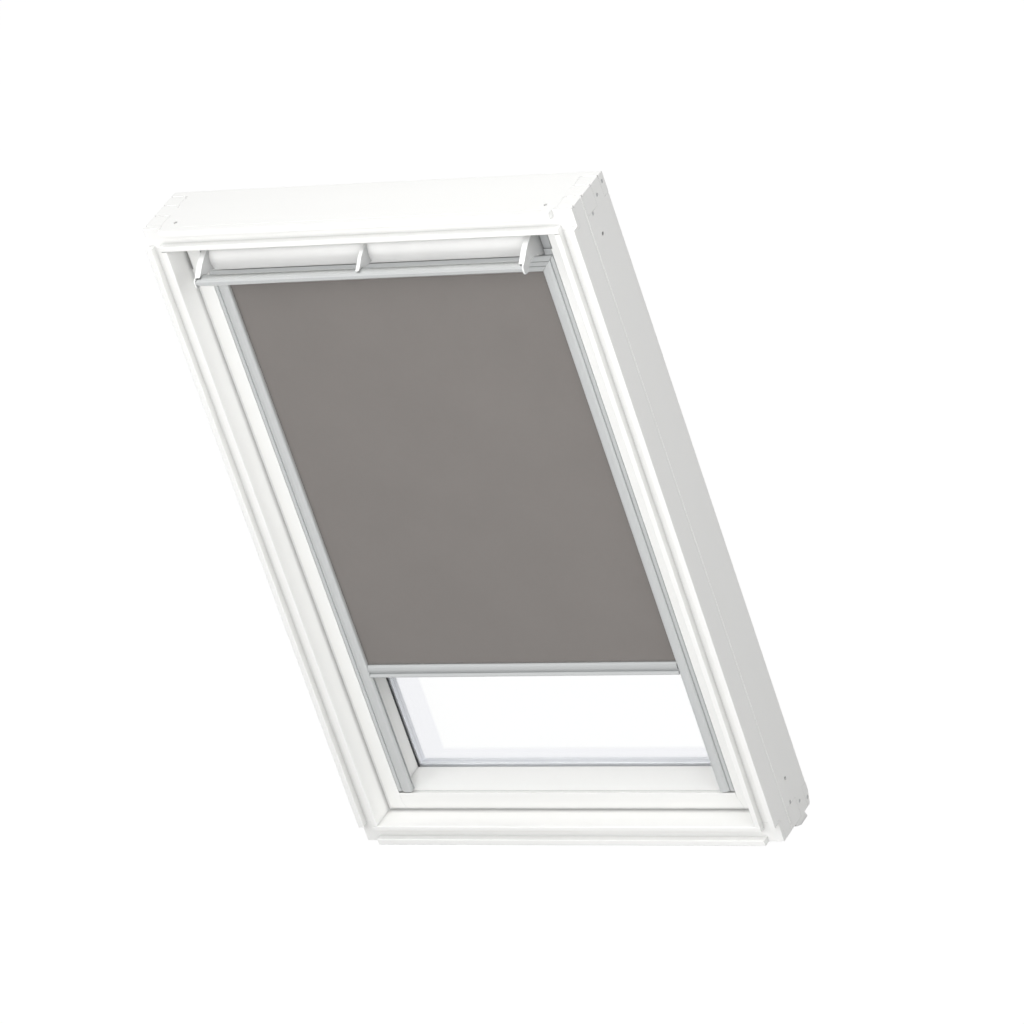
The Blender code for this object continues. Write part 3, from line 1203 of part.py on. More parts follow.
def bottom_bar():
    """Aluminium bar with a grip lip and a slot that holds the fabric."""
    top = BOTTOM_BAR_TOP
    low = BOTTOM_BAR_LOW
    height = BOTTOM_BAR_HEIGHT
    back = BOTTOM_BAR_BACK
    front = back - BOTTOM_BAR_BODY
    lip = back - BOTTOM_BAR_LIP
    slot = FABRIC_THICKNESS / 2 + 2 * SEAT_GAP
    neck = front + 3.4 * MM
    profile = [
        (back, top),
        (FABRIC_DEPTH + slot, top),
        (FABRIC_DEPTH + slot, top - FABRIC_GRIP - SEAT_GAP),
        (FABRIC_DEPTH - slot, top - FABRIC_GRIP - SEAT_GAP),
        (FABRIC_DEPTH - slot, top),
        (front + 3.6 * MM, top),
        (front + 1.4 * MM, top - height * 0.10),
        (front + 0.2 * MM, top - height * 0.26),
        (front, top - height * 0.44),
        (front + 1.6 * MM, top - height * 0.60),
        (neck, top - height * 0.645),
        (neck, top - height * 0.70),
        (front + 0.8 * MM, top - height * 0.76),
        (lip, top - height * 0.90),
        (lip + 0.5 * MM, low + 0.4 * MM),
        (lip + 2.4 * MM, low),
        (lip + 5.0 * MM, low + height * 0.10),
        (neck + 2.2 * MM, low + height * 0.22),
        (back, low + height * 0.25),
    ]
    corners = [(FRONT_Y + depth, z) for depth, z in profile]
    half = BOTTOM_BAR_HALF - SEAT_GAP
    return finished(extrusion("bottom_bar", corners, -half, half, ACROSS), "aluminium")


def bar_guide(side):
    """Plastic shoe on the bar's end that runs inside a channel."""
    x = sorted((side * BOTTOM_BAR_HALF, side * (BOTTOM_BAR_HALF + GUIDE_REACH)))
    middle = FRONT_Y + FABRIC_DEPTH
    low = (x[0], middle - GUIDE_THICKNESS / 2, BOTTOM_BAR_LOW + BOTTOM_BAR_HEIGHT * 0.26)
    high = (x[1], middle + GUIDE_THICKNESS / 2, BOTTOM_BAR_TOP - FABRIC_GRIP - 2 * SEAT_GAP)
    return finished(solids("bar_guide_" + side_name(side), boxes=[(low, high)]), "grey_plastic")


def build_frame():
    """The fixed frame."""
    holes = frame_holes()
    bites = corner_bites()
    for side in (-1, 1):
        frame_side(side, holes, bites)
        pivot_socket(side)
        corner_screws(side)
    for top in (False, True):
        frame_end(top, holes, bites)


def build_sash():
    """Everything that turns with the sash and doesn't move on it."""
    coping = stile_cutters()
    holes = flange_holes()
    pieces = [sash_rail_bottom(coping), sash_rail_top(coping, holes), blind_casing(holes)]
    pieces += casing_screws() + [roller_axle(), spring_motor(), blind_fabric()]
    pieces += glazing() + [sash_seal()]
    for side in (-1, 1):
        pieces += [sash_stile(side), pivot_pin(side), channel(side)]
        pieces += [roller_bracket(side), flap_bearing(side)]
    return pieces


def build_flap():
    """The ventilation flap with its control bar."""
    return [flap_cover(), middle_arm(), control_bar(), flap_end(-1), flap_end(1)]


def build_bar():
    """The blind's bottom bar and its guides."""
    return [bottom_bar(), bar_guide(-1), bar_guide(1)]


def main():
    """Build the window and hang each moving group on its joint's axis."""
    build_frame()
    sash_axis = holder("sash_axis", (0, FRONT_Y + PIVOT_DEPTH, PIVOT_Z))
    flap_axis = holder("flap_axis", (0, FLAP_AXIS_Y, FLAP_AXIS_Z))
    slide_axis = holder("blind_slide_axis", (0, FRONT_Y + FABRIC_DEPTH, BOTTOM_BAR_TOP))
    roller_axis = holder("roller_axis", (0, FRONT_Y + ROLLER_DEPTH, ROLLER_Z))
    carry(sash_axis, build_sash() + [flap_axis, slide_axis, roller_axis])
    carry(flap_axis, build_flap())
    carry(slide_axis, build_bar())
    carry(roller_axis, roller_parts())


main()
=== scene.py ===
"""Looks of a centre-pivot roof window with its roller blind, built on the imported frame.

Lengths are in metres in the frame's own axes: +Z runs up the roof slope, -Y faces
the room and +X is to the right as seen from the room. The origin is the middle of
the outer frame's bottom face. "Depth" is measured from the outer frame's front
face towards the weather side.
"""

import logging
import math
from dataclasses import dataclass
from enum import Enum
from typing import Any, Iterable, Mapping, Optional, Sequence, Union

import bmesh
import bpy
from mathutils import Matrix, Vector
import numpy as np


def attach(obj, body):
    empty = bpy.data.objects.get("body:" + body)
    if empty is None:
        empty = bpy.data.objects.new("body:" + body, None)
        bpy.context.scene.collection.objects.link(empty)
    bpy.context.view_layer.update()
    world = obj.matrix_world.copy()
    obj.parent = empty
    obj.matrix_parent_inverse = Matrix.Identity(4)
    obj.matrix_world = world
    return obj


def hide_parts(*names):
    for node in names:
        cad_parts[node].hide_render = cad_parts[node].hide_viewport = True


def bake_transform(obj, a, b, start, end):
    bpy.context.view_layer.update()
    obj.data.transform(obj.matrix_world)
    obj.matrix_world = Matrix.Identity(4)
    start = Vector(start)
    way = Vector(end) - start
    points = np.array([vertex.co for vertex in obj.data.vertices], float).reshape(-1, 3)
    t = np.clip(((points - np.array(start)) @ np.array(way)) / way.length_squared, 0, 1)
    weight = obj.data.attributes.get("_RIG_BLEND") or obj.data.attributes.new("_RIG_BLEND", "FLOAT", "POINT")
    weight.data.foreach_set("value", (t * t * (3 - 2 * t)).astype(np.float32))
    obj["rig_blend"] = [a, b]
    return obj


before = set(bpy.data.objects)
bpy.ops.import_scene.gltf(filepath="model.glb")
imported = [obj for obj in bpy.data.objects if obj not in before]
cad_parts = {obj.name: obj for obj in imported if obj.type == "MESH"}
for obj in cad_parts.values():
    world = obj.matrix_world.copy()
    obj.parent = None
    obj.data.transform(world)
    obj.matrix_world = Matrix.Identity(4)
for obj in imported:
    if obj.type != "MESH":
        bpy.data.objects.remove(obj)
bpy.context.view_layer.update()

LOG = logging.getLogger("roof_window")
FRONT_Y = -0.063
WELD = 1e-6
SHARP_ANGLE = 34.0
FLATNESS = 80
ACROSS = Matrix(((0, 0, 1, 0), (1, 0, 0, 0), (0, 1, 0, 0), (0, 0, 0, 1)))

Point = tuple[float, float]
Triple = tuple[float, float, float]


def toned(colour: Triple, share: float) -> Triple:
    """A colour made darker or lighter by a factor."""
    return colour[0] * share, colour[1] * share, colour[2] * share


class Body(Enum):
    """The moving groups that pieces ride on."""

    FRAME = "frame"
    SASH = "sash"
    FLAP = "vent_flap"
    BAR = "blind_bar"


class Slot(Enum):
    """The record's material slots."""

    LACQUER = "white_lacquer"
    PLASTIC = "white_plastic"
    ALUMINIUM = "aluminium"
    RUBBER = "dark_rubber"
    SPACER = "spacer_grey"
    GLASS = "glass"
    STEEL = "zinc_steel"
    CLOTH = "grey_fabric"
    MOULDING = "grey_plastic"


class Side(Enum):
    """The window's two sides, seen from the room."""

    LEFT = -1
    RIGHT = 1

    @property
    def word(self) -> str:
        """The side's word in the nodes' names."""
        return self.name.lower()


class Axis(Enum):
    """The direction that grain or drawing lines run in."""

    X = 0
    Z = 2

    def stretch(self, across: float, along: float) -> Triple:
        """Give pattern frequencies that are drawn out along this axis.

        Args:
            across: Cycles per metre across the axis.
            along: Cycles per metre along the axis.

        Returns:
            The frequencies along X, Y and Z.
        """
        found = [across, across, across]
        found[self.value] = along
        return found[0], found[1], found[2]


class Signal:
    """A node socket that takes part in Python arithmetic."""

    def __init__(self, graph: "NodeGraph", socket: bpy.types.NodeSocket) -> None:
        """Wrap a socket.

        Args:
            graph: The graph that the socket belongs to.
            socket: The output socket.
        """
        self.graph = graph
        self.socket = socket

    def __add__(self, other: "Operand") -> "Signal":
        """Add a number or a signal."""
        return self.graph.maths("ADD", self, other)

    def __radd__(self, other: "Operand") -> "Signal":
        """Add this signal to a number."""
        return self.graph.maths("ADD", other, self)

    def __sub__(self, other: "Operand") -> "Signal":
        """Take away a number or a signal."""
        return self.graph.maths("SUBTRACT", self, other)

    def __rsub__(self, other: "Operand") -> "Signal":
        """Take this signal away from a number."""
        return self.graph.maths("SUBTRACT", other, self)

    def __mul__(self, other: "Operand") -> "Signal":
        """Multiply by a number or a signal."""
        return self.graph.maths("MULTIPLY", self, other)

    def sine(self) -> "Signal":
        """The sine of this signal in radians."""
        return self.graph.maths("SINE", self, 0.0)

    def size(self) -> "Signal":
        """This signal without its sign."""
        return self.graph.maths("ABSOLUTE", self, 0.0)

    def above(self, limit: "Operand") -> "Signal":
        """One where this signal is above a limit, and zero elsewhere."""
        return self.graph.maths("GREATER_THAN", self, limit)

    def below(self, limit: "Operand") -> "Signal":
        """One where this signal is below a limit, and zero elsewhere."""
        return self.graph.maths("LESS_THAN", self, limit)

    def stepped(self, low: float, high: float) -> "Signal":
        """Rise smoothly from zero at one value to one at another.

        Args:
            low: The value at which the result is zero.
            high: The value at which the result is one.

        Returns:
            The smooth step.
        """
        node = self.graph.node("ShaderNodeMapRange", {"interpolation_type": "SMOOTHSTEP"},
                               {"Value": self, "From Min": low, "From Max": high})
        return Signal(self.graph, node.outputs[0])


Operand = Union[Signal, float]


class NodeGraph:
    """Adds nodes to one node tree."""

    def __init__(self, tree: bpy.types.NodeTree) -> None:
        """Start with a tree's nodes cleared.

        Args:
            tree: The tree to build in.
        """
        self.tree = tree
        self.tree.nodes.clear()

    def node(self, kind: str, settings: Optional[Mapping[str, Any]] = None,
             inputs: Optional[Mapping[Union[str, int], Any]] = None) -> bpy.types.Node:
        """Add a node, set it up and feed its sockets.

        Args:
            kind: The node's type.
            settings: Its properties.
            inputs: Values, signals or sockets by input name or number.

        Returns:
            The node.
        """
        made = self.tree.nodes.new(kind)
        for name, value in (settings or {}).items():
            setattr(made, name, value)
        for name, value in (inputs or {}).items():
            self.feed(made.inputs[name], value)
        return made

    def feed(self, socket: bpy.types.NodeSocket, value: Any) -> None:
        """Link a signal or socket to an input, or set the input's own value.

        Args:
            socket: The input.
            value: A signal, an output socket or a plain value.
        """
        if isinstance(value, Signal):
            self.tree.links.new(value.socket, socket)
        elif isinstance(value, bpy.types.NodeSocket):
            self.tree.links.new(value, socket)
        else:
            socket.default_value = value

    def maths(self, operation: str, first: Operand, second: Operand) -> Signal:
        """Add a Math node for one operation on numbers or signals."""
        node = self.node("ShaderNodeMath", {"operation": operation}, {0: first, 1: second})
        return Signal(self, node.outputs[0])


class SurfaceGraph(NodeGraph):
    """Builds the nodes of one material."""

    NOISE_ROUGHNESS = 0.55
    SHELTER_SAMPLES = 8
    MIX_COLOURS = (6, 7)
    MIX_RESULT = 2
    VIEWPORT_GREY = (0.8, 0.8, 0.8)

    def __init__(self, name: str) -> None:
        """Make an empty material.

        Args:
            name: The material's name.
        """
        self.material = bpy.data.materials.new(name)
        self.material.use_nodes = True
        super().__init__(self.material.node_tree)

    def coordinates(self, source: str = "Object") -> Signal:
        """The coordinates that patterns are laid on, "Object" or "UV"."""
        return Signal(self, self.node("ShaderNodeTexCoord").outputs[source])

    def split(self, vector: Signal) -> list[Signal]:
        """Split a vector into its three signals."""
        node = self.node("ShaderNodeSeparateXYZ", {}, {0: vector})
        return [Signal(self, output) for output in node.outputs]

    def noise(self, frequency: Union[float, Triple], detail: float,
              source: str = "Object") -> Signal:
        """Add noise over the piece.

        Args:
            frequency: Cycles per metre, one for all ways or one each along X, Y and Z.
            detail: How much finer noise is added.
            source: The coordinates that it lies on.

        Returns:
            The noise, about 0.5 in the middle of its range.
        """
        stretch = frequency if isinstance(frequency, tuple) else (frequency, frequency, frequency)
        place = self.node("ShaderNodeVectorMath", {"operation": "MULTIPLY"},
                          {0: self.coordinates(source), 1: stretch})
        node = self.node("ShaderNodeTexNoise", {},
                         {"Vector": place.outputs[0], "Scale": 1.0, "Detail": detail,
                          "Roughness": self.NOISE_ROUGHNESS})
        return Signal(self, node.outputs[0])

    def cells(self, frequency: float) -> Signal:
        """Add cells over the piece.

        Args:
            frequency: Cells per metre.

        Returns:
            A random tone of each cell.
        """
        node = self.node("ShaderNodeTexVoronoi", {},
                         {"Vector": self.coordinates(), "Scale": frequency})
        return self.split(Signal(self, node.outputs["Color"]))[0]

    def dusted(self, reach: float, limits: Point) -> Signal:
        """How much painted shade darkens corners, grooves and seams, from ambient occlusion.

        Args:
            reach: How near the neighbouring walls must stand, in metres.
            limits: How closed in a spot is where the painted shade starts and where it is darkest.

        Returns:
            One deep in a seam, zero on open faces.
        """
        # Ambient occlusion turned into painted shade in the colour, darkest where walls stand close.
        node = self.node("ShaderNodeAmbientOcclusion", {"samples": self.SHELTER_SAMPLES},
                         {"Distance": reach})
        return (1.0 - Signal(self, node.outputs["AO"])).stepped(*limits)

    def blended(self, factor: Operand, first: Any, second: Any) -> Signal:
        """Mix two colours.

        Args:
            factor: The share of the second colour.
            first: A colour or a signal.
            second: A colour or a signal.

        Returns:
            The mixed colour.
        """
        colours = {place: value if isinstance(value, Signal) else (*value, 1.0)
                   for place, value in zip(self.MIX_COLOURS, (first, second))}
        node = self.node("ShaderNodeMix", {"data_type": "RGBA"}, {0: factor, **colours})
        return Signal(self, node.outputs[self.MIX_RESULT])

    def relief(self, height: Signal, distance: float, strength: float) -> Signal:
        """Turn a height into a bumped normal.

        Args:
            height: The height, from zero to one.
            distance: What a height of one stands for, in metres.
            strength: The share of the relief that shows.

        Returns:
            The normal.
        """
        node = self.node("ShaderNodeBump", {},
                         {"Height": height, "Distance": distance, "Strength": strength})
        return Signal(self, node.outputs[0])

    def surface(self, colour: Any, roughness: Operand, normal: Optional[Signal] = None,
                **others: Operand) -> bpy.types.Material:
        """Close the material with its surface shader.

        Args:
            colour: The base colour or its signal.
            roughness: The roughness or its signal.
            normal: The bumped normal.
            others: Values of other inputs, with _ for a space in the name.

        Returns:
            The material.
        """
        inputs: dict[Union[str, int], Any] = {"Roughness": roughness}
        plain = isinstance(colour, tuple)
        inputs["Base Color"] = (*colour, 1.0) if plain else colour
        if normal is not None:
            inputs["Normal"] = normal
        for name, value in others.items():
            inputs[name.replace("_", " ")] = value
        shader = self.node("ShaderNodeBsdfPrincipled", {}, inputs)
        self.node("ShaderNodeOutputMaterial", {}, {"Surface": shader.outputs[0]})
        self.material.diffuse_color = (*(colour if plain else self.VIEWPORT_GREY), 1.0)
        return self.material


@dataclass(frozen=True)
class Finish:
    """A finish that pieces are given; each kind builds its own nodes."""

    name: str
    slot: Slot

    def material(self) -> bpy.types.Material:
        """The finish's material, made on first use."""
        return bpy.data.materials.get(self.name) or self.build(SurfaceGraph(self.name))

    def build(self, graph: SurfaceGraph) -> bpy.types.Material:
        """Build the material's nodes; every kind of finish has its own."""
        raise NotImplementedError


@dataclass(frozen=True)
class Lacquer(Finish):
    """Satin white lacquer over timber, with a breath of grain, sprayed texture and painted shade in its
    corners, grooves and seams.
    """

    colour: Triple = (0.90, 0.90, 0.885)
    shade: float = 0.985
    # Grey of the painted shade in corners, grooves and seams.
    dust: Triple = (0.50, 0.50, 0.495)
    dust_reach: float = 0.012
    dust_limits: Point = (0.10, 0.8)
    dust_share: float = 0.75
    grain: Axis = Axis.Z
    grain_lines: Point = (240.0, 5.0)
    cloud_lines: Point = (9.0, 2.0)
    spray: float = 420.0
    spray_height: float = 0.00004
    roughness: float = 0.33

    def build(self, graph: SurfaceGraph) -> bpy.types.Material:
        """Build the lacquer's nodes.

        Args:
            graph: The empty material.

        Returns:
            The material.
        """
        sprayed = graph.noise(self.spray, 2.0)
        grain = graph.noise(self.grain.stretch(*self.grain_lines), 3.0)
        tone = graph.noise(self.grain.stretch(*self.cloud_lines), 2.0)
        shaded = toned(self.colour, self.shade)
        clean = graph.blended(tone.stepped(0.3, 0.7), shaded, self.colour)
        # Painted shade: corners, grooves and seams are darkened towards the grey above.
        dusty = graph.dusted(self.dust_reach, self.dust_limits) * self.dust_share
        colour = graph.blended(dusty, clean, self.dust)
        height = sprayed * 0.7 + grain * 0.3
        return graph.surface(colour, self.roughness + sprayed * 0.12,
                             graph.relief(height, self.spray_height, 0.3), Specular_IOR_Level=0.42)


@dataclass(frozen=True)
class Moulded(Finish):
    """Moulded plastic with a fine spark-eroded grain and painted shade in its corners and grooves."""

    colour: Triple = (0.88, 0.88, 0.87)
    shade: float = 0.965
    roughness: float = 0.28
    flow: float = 14.0
    grain: float = 1600.0
    grain_height: float = 0.00003
    grain_strength: float = 0.6
    # How dark the painted shade in corners and grooves makes the colour.
    dust_tone: float = 0.5
    dust_reach: float = 0.018
    dust_limits: Point = (0.05, 0.7)
    dust_share: float = 0.6

    def build(self, graph: SurfaceGraph) -> bpy.types.Material:
        """Build the plastic's nodes.

        Args:
            graph: The empty material.

        Returns:
            The material.
        """
        fine = graph.noise(self.grain, 3.0)
        flow = graph.noise(self.flow, 2.0)
        shaded = toned(self.colour, self.shade)
        clean = graph.blended(flow.stepped(0.35, 0.65), shaded, self.colour)
        # Painted shade darkens the colour in corners and grooves.
        colour = graph.blended(self.dusty(graph), clean, toned(self.colour, self.dust_tone))
        return graph.surface(colour, self.roughness + flow * 0.06 + fine * 0.06,
                             graph.relief(fine, self.grain_height, self.grain_strength))

    def dusty(self, graph: SurfaceGraph) -> Signal:
        """The share of painted shade at each spot, most in corners and grooves."""
        return graph.dusted(self.dust_reach, self.dust_limits) * self.dust_share


@dataclass(frozen=True)
class WebbedMoulding(Moulded):
    """Moulded plastic whose webs, which face sideways, have a coarser grain and a grey painted shade."""

    # Grey painted on the sideways faces as their shade.
    web: Triple = (0.56, 0.565, 0.565)
    web_grain: float = 700.0
    web_dust_tone: float = 0.4

    def build(self, graph: SurfaceGraph) -> bpy.types.Material:
        """Build the plastic's nodes.

        Args:
            graph: The empty material.

        Returns:
            The material.
        """
        geometry = graph.node("ShaderNodeNewGeometry")
        normal = graph.split(Signal(graph, geometry.outputs["Normal"]))
        # Sideways faces get the painted grey shade, a rougher finish and a coarser grain.
        sideways = normal[0].size().stepped(0.75, 0.95)
        fine = graph.noise(self.grain, 3.0)
        coarse = graph.noise(self.web_grain, 2.0)
        dusty = self.dusty(graph)
        # Painted shade: the webs' grey, made darker still in corners.
        web = graph.blended(dusty, self.web, toned(self.web, self.web_dust_tone))
        face = graph.blended(dusty, self.colour, toned(self.colour, self.dust_tone))
        height = fine * (1.0 - sideways) + coarse * sideways
        rough = self.roughness + sideways * 0.2 + fine * 0.06
        return graph.surface(graph.blended(sideways, face, web), rough,
                             graph.relief(height, self.grain_height, self.grain_strength))


@dataclass(frozen=True)
class Anodised(Finish):
    """Satin anodised aluminium with drawing lines along the profile."""

    colour: Triple = (0.62, 0.635, 0.635)
    shade: float = 0.93
    drawn: Axis = Axis.Z
    fine_lines: Point = (1500.0, 6.0)
    broad_lines: Point = (160.0, 1.5)
    etching: float = 2600.0
    roughness: float = 0.32
    line_height: float = 0.00002
    metallic: float = 0.4

    def build(self, graph: SurfaceGraph) -> bpy.types.Material:
        """Build the metal's nodes.

        Args:
            graph: The empty material.

        Returns:
            The material.
        """
        lines = graph.noise(self.drawn.stretch(*self.fine_lines), 3.0)
        bands = graph.noise(self.drawn.stretch(*self.broad_lines), 2.0)
        etched = graph.noise(self.etching, 2.0)
        darker = toned(self.colour, self.shade)
        colour = graph.blended(bands.stepped(0.3, 0.7), darker, self.colour)
        rough = self.roughness + bands * 0.05 + lines * 0.07 + etched * 0.03
        height = lines * 0.7 + etched * 0.3
        return graph.surface(colour, rough, graph.relief(height, self.line_height, 0.5),
                             Metallic=self.metallic)


@dataclass(frozen=True)
class ZincPlated(Finish):
    """Zinc-plated steel with faint crystals."""

    colour: Triple = (0.72, 0.73, 0.74)
    shade: float = 0.82
    roughness: float = 0.28
    crystals: float = 900.0
    scuff_lines: Triple = (700.0, 700.0, 120.0)
    scuff_height: float = 0.00003

    def build(self, graph: SurfaceGraph) -> bpy.types.Material:
        """Build the steel's nodes.

        Args:
            graph: The empty material.

        Returns:
            The material.
        """
        tone = graph.cells(self.crystals)
        scuffs = graph.noise(self.scuff_lines, 3.0)
        darker = toned(self.colour, self.shade)
        colour = graph.blended(tone, darker, self.colour)
        return graph.surface(colour, self.roughness + scuffs * 0.2,
                             graph.relief(scuffs, self.scuff_height, 0.5), Metallic=0.6)


@dataclass(frozen=True)
class Rubber(Finish):
    """Extruded rubber, matt with a bloom."""

    colour: Triple = (0.045, 0.046, 0.048)
    bloom: float = 1.5
    bloom_spots: float = 90.0
    roughness: float = 0.55
    grain: float = 2200.0
    grain_height: float = 0.00004

    def build(self, graph: SurfaceGraph) -> bpy.types.Material:
        """Build the rubber's nodes.

        Args:
            graph: The empty material.

        Returns:
            The material.
        """
        cloud = graph.noise(self.bloom_spots, 3.0)
        fine = graph.noise(self.grain, 2.0)
        lighter = toned(self.colour, self.bloom)
        colour = graph.blended(cloud.stepped(0.4, 0.75), self.colour, lighter)
        return graph.surface(colour, self.roughness + fine * 0.2,
                             graph.relief(fine, self.grain_height, 0.6))


@dataclass(frozen=True)
class SpacerTube(Finish):
    """Pale spacer tube of the double glazing, with its row of drying holes."""

    colour: Triple = (0.90, 0.915, 0.95)
    middle_y: float = 0.0476
    pitch: float = 0.003
    hole_half: float = 0.0006
    hole_start: float = 0.55
    hole_depth: float = 0.0002
    hole_tone: float = 0.25
    brush_lines: Triple = (800.0, 60.0, 800.0)
    roughness: float = 0.42

    def build(self, graph: SurfaceGraph) -> bpy.types.Material:
        """Build the spacer's nodes.

        Args:
            graph: The empty material.

        Returns:
            The material.
        """
        along_x, y, along_z = graph.split(graph.coordinates())
        turns = 2 * math.pi / self.pitch
        dots = ((along_x + along_z) * turns).sine().above(self.hole_start)
        row = (y - self.middle_y).size().below(self.hole_half)
        hole = dots * row
        brushed = graph.noise(self.brush_lines, 2.0)
        darker = toned(self.colour, self.hole_tone)
        colour = graph.blended(hole, self.colour, darker)
        return graph.surface(colour, self.roughness + brushed * 0.15,
                             graph.relief(1.0 - hole, self.hole_depth, 0.4), Metallic=0.2)


@dataclass(frozen=True)
class BlackoutCloth(Finish):
    """Opaque woven cloth; its threads lie on the cloth's own UV map, which is in metres."""

    colour: Triple = (0.220, 0.204, 0.193)
    shade: float = 0.90
    light: float = 1.06
    pitch: float = 0.00045
    thread_height: float = 0.00012
    slub_lines: Point = (2200.0, 60.0)
    cloud: float = 7.0
    roughness: float = 0.86

    def build(self, graph: SurfaceGraph) -> bpy.types.Material:
        """Build the cloth's nodes.

        Args:
            graph: The empty material.

        Returns:
            The material.
        """
        across, along, _ = graph.split(graph.coordinates("UV"))
        turns = math.pi / self.pitch
        warp = (across * turns).sine()
        weft = (along * turns).sine()
        over = (warp * weft).above(0.0)
        threads = over * warp.size() + (1.0 - over) * weft.size()
        narrow, long = self.slub_lines
        slubs = (graph.noise((narrow, long, 1.0), 3.0, "UV")
                 + graph.noise((long, narrow, 1.0), 3.0, "UV"))
        cloud = graph.noise((self.cloud, self.cloud, 1.0), 3.0, "UV")
        darker = toned(self.colour, self.shade)
        lighter = toned(self.colour, self.light)
        tone = threads * 0.35 + slubs * 0.25 + cloud * 0.35
        colour = graph.blended(tone.stepped(0.25, 0.95), darker, lighter)
        return graph.surface(colour, self.roughness + threads * 0.08,
                             graph.relief(threads + slubs * 0.3, self.thread_height, 0.7),
                             Sheen_Weight=0.08, Specular_IOR_Level=0.25)


@dataclass(frozen=True)
class ClearGlass(Finish):
    """Clear float glass with a faint cool tint."""

    colour: Triple = (0.95, 0.985, 0.98)
    body: float = 0.09
    roughness: float = 0.015
    waves: Triple = (3.0, 3.0, 9.0)
    wave_height: float = 0.00005

    def build(self, graph: SurfaceGraph) -> bpy.types.Material:
        """Build the clear glass's nodes."""
        return self.glazed(graph, self.colour, self.body)

    def glazed(self, graph: SurfaceGraph, colour: Any, body: Operand) -> bpy.types.Material:
        """Close a glass.

        Args:
            graph: The material so far.
            colour: The glass's colour or its signal.
            body: How much of the glass's own body shows.

        Returns:
            The material.
        """
        roller_wave = graph.noise(self.waves, 1.0)
        wavy = graph.relief(roller_wave, self.wave_height, 0.1)
        return graph.surface(colour, self.roughness, wavy, Transmission_Weight=1.0, IOR=1.1,
                             Alpha=body, Coat_Weight=1.0, Coat_IOR=1.5, Coat_Roughness=0.01)


@dataclass(frozen=True)
class BorderedGlass(ClearGlass):
    """Clear glass with a faint cool border along its sealed edges."""

    border: Triple = (0.68, 0.69, 0.77)
    border_body: float = 0.25
    border_side: float = 0.259
    border_foot: float = 0.110
    softness: float = 0.002

    def build(self, graph: SurfaceGraph) -> bpy.types.Material:
        """Build the bordered glass's nodes.

        Args:
            graph: The empty material.

        Returns:
            The material.
        """
        side, _, height = graph.split(graph.coordinates())
        soft = self.softness
        beside = side.size().stepped(self.border_side - soft, self.border_side + soft)
        above = height.stepped(self.border_foot - soft, self.border_foot + soft)
        share = 1.0 - (1.0 - beside) * above
        return self.glazed(graph, graph.blended(share, self.colour, self.border),
                           share * (self.border_body - self.body) + self.body)


class Finishes:
    """The window's finishes."""

    STILE_LACQUER = Lacquer("lacquer_upright", Slot.LACQUER, grain=Axis.Z)
    RAIL_LACQUER = Lacquer("lacquer_across", Slot.LACQUER, grain=Axis.X)
    FLAP_PLASTIC = Moulded("flap_plastic", Slot.PLASTIC, colour=(0.80, 0.80, 0.79))
    ARM_PLASTIC = WebbedMoulding("arm_plastic", Slot.PLASTIC)
    GREY_MOULDING = Moulded("grey_moulding", Slot.MOULDING, colour=(0.42, 0.43, 0.435),
                            roughness=0.42, grain_height=0.00005)
    CHANNEL_METAL = Anodised("anodised_upright", Slot.ALUMINIUM, drawn=Axis.Z)
    CASING_METAL = Anodised("anodised_across", Slot.ALUMINIUM, drawn=Axis.X, metallic=0.8)
    BAR_METAL = Anodised("bright_bar", Slot.ALUMINIUM, colour=(0.78, 0.795, 0.795), drawn=Axis.X,
                         roughness=0.2, line_height=0.00001, metallic=1.0)
    STEEL = ZincPlated("zinc_plated", Slot.STEEL)
    RUBBER = Rubber("gasket_rubber", Slot.RUBBER)
    SEAL = Rubber("seal_rubber", Slot.RUBBER, colour=(0.36, 0.36, 0.355), bloom=1.05)
    LIP = Rubber("pale_lip_rubber", Slot.RUBBER, colour=(0.80, 0.80, 0.79), bloom=1.03)
    SPACER = SpacerTube("spacer_tube", Slot.SPACER)
    CLOTH = BlackoutCloth("blackout_cloth", Slot.CLOTH)
    GLASS = ClearGlass("clear_glass", Slot.GLASS)
    OUTER_GLASS = BorderedGlass("bordered_glass", Slot.GLASS)


class Outline:
    """Ways to draw smooth outlines."""

    @staticmethod
    def flowing(points: Sequence[Point], steps: int = 5) -> list[Point]:
        """Draw a smooth curve through points.

        Args:
            points: The points that the curve passes through.
            steps: How many straight steps each stretch has.

        Returns:
            The curve's points.
        """
        known = [Vector(point) for point in points]
        known = [known[0] * 2 - known[1], *known, known[-1] * 2 - known[-2]]
        found = []
        for a, b, c, d in zip(known, known[1:], known[2:], known[3:]):
            for step in range(steps):
                t = step / steps
                spot = (b * 2 + (c - a) * t + (a * 2 - b * 5 + c * 4 - d) * t ** 2
                        + (b * 3 - a - c * 3 + d) * t ** 3) / 2
                found.append(tuple(spot))
        return found + [tuple(known[-2])]

    @staticmethod
    def turned(centre: Point, radius: float, start: float, end: float, steps: int) -> list[Point]:
        """Points on a circle in (y, z), from the room side turning downwards.

        Args:
            centre: The circle's centre.
            radius: Its radius.
            start: The first angle in degrees.
            end: The last angle in degrees.
            steps: How many straight steps.

        Returns:
            The points.
        """
        angles = [math.radians(start + (end - start) * step / steps) for step in range(steps + 1)]
        return [(centre[0] - radius * math.cos(angle), centre[1] - radius * math.sin(angle))
                for angle in angles]


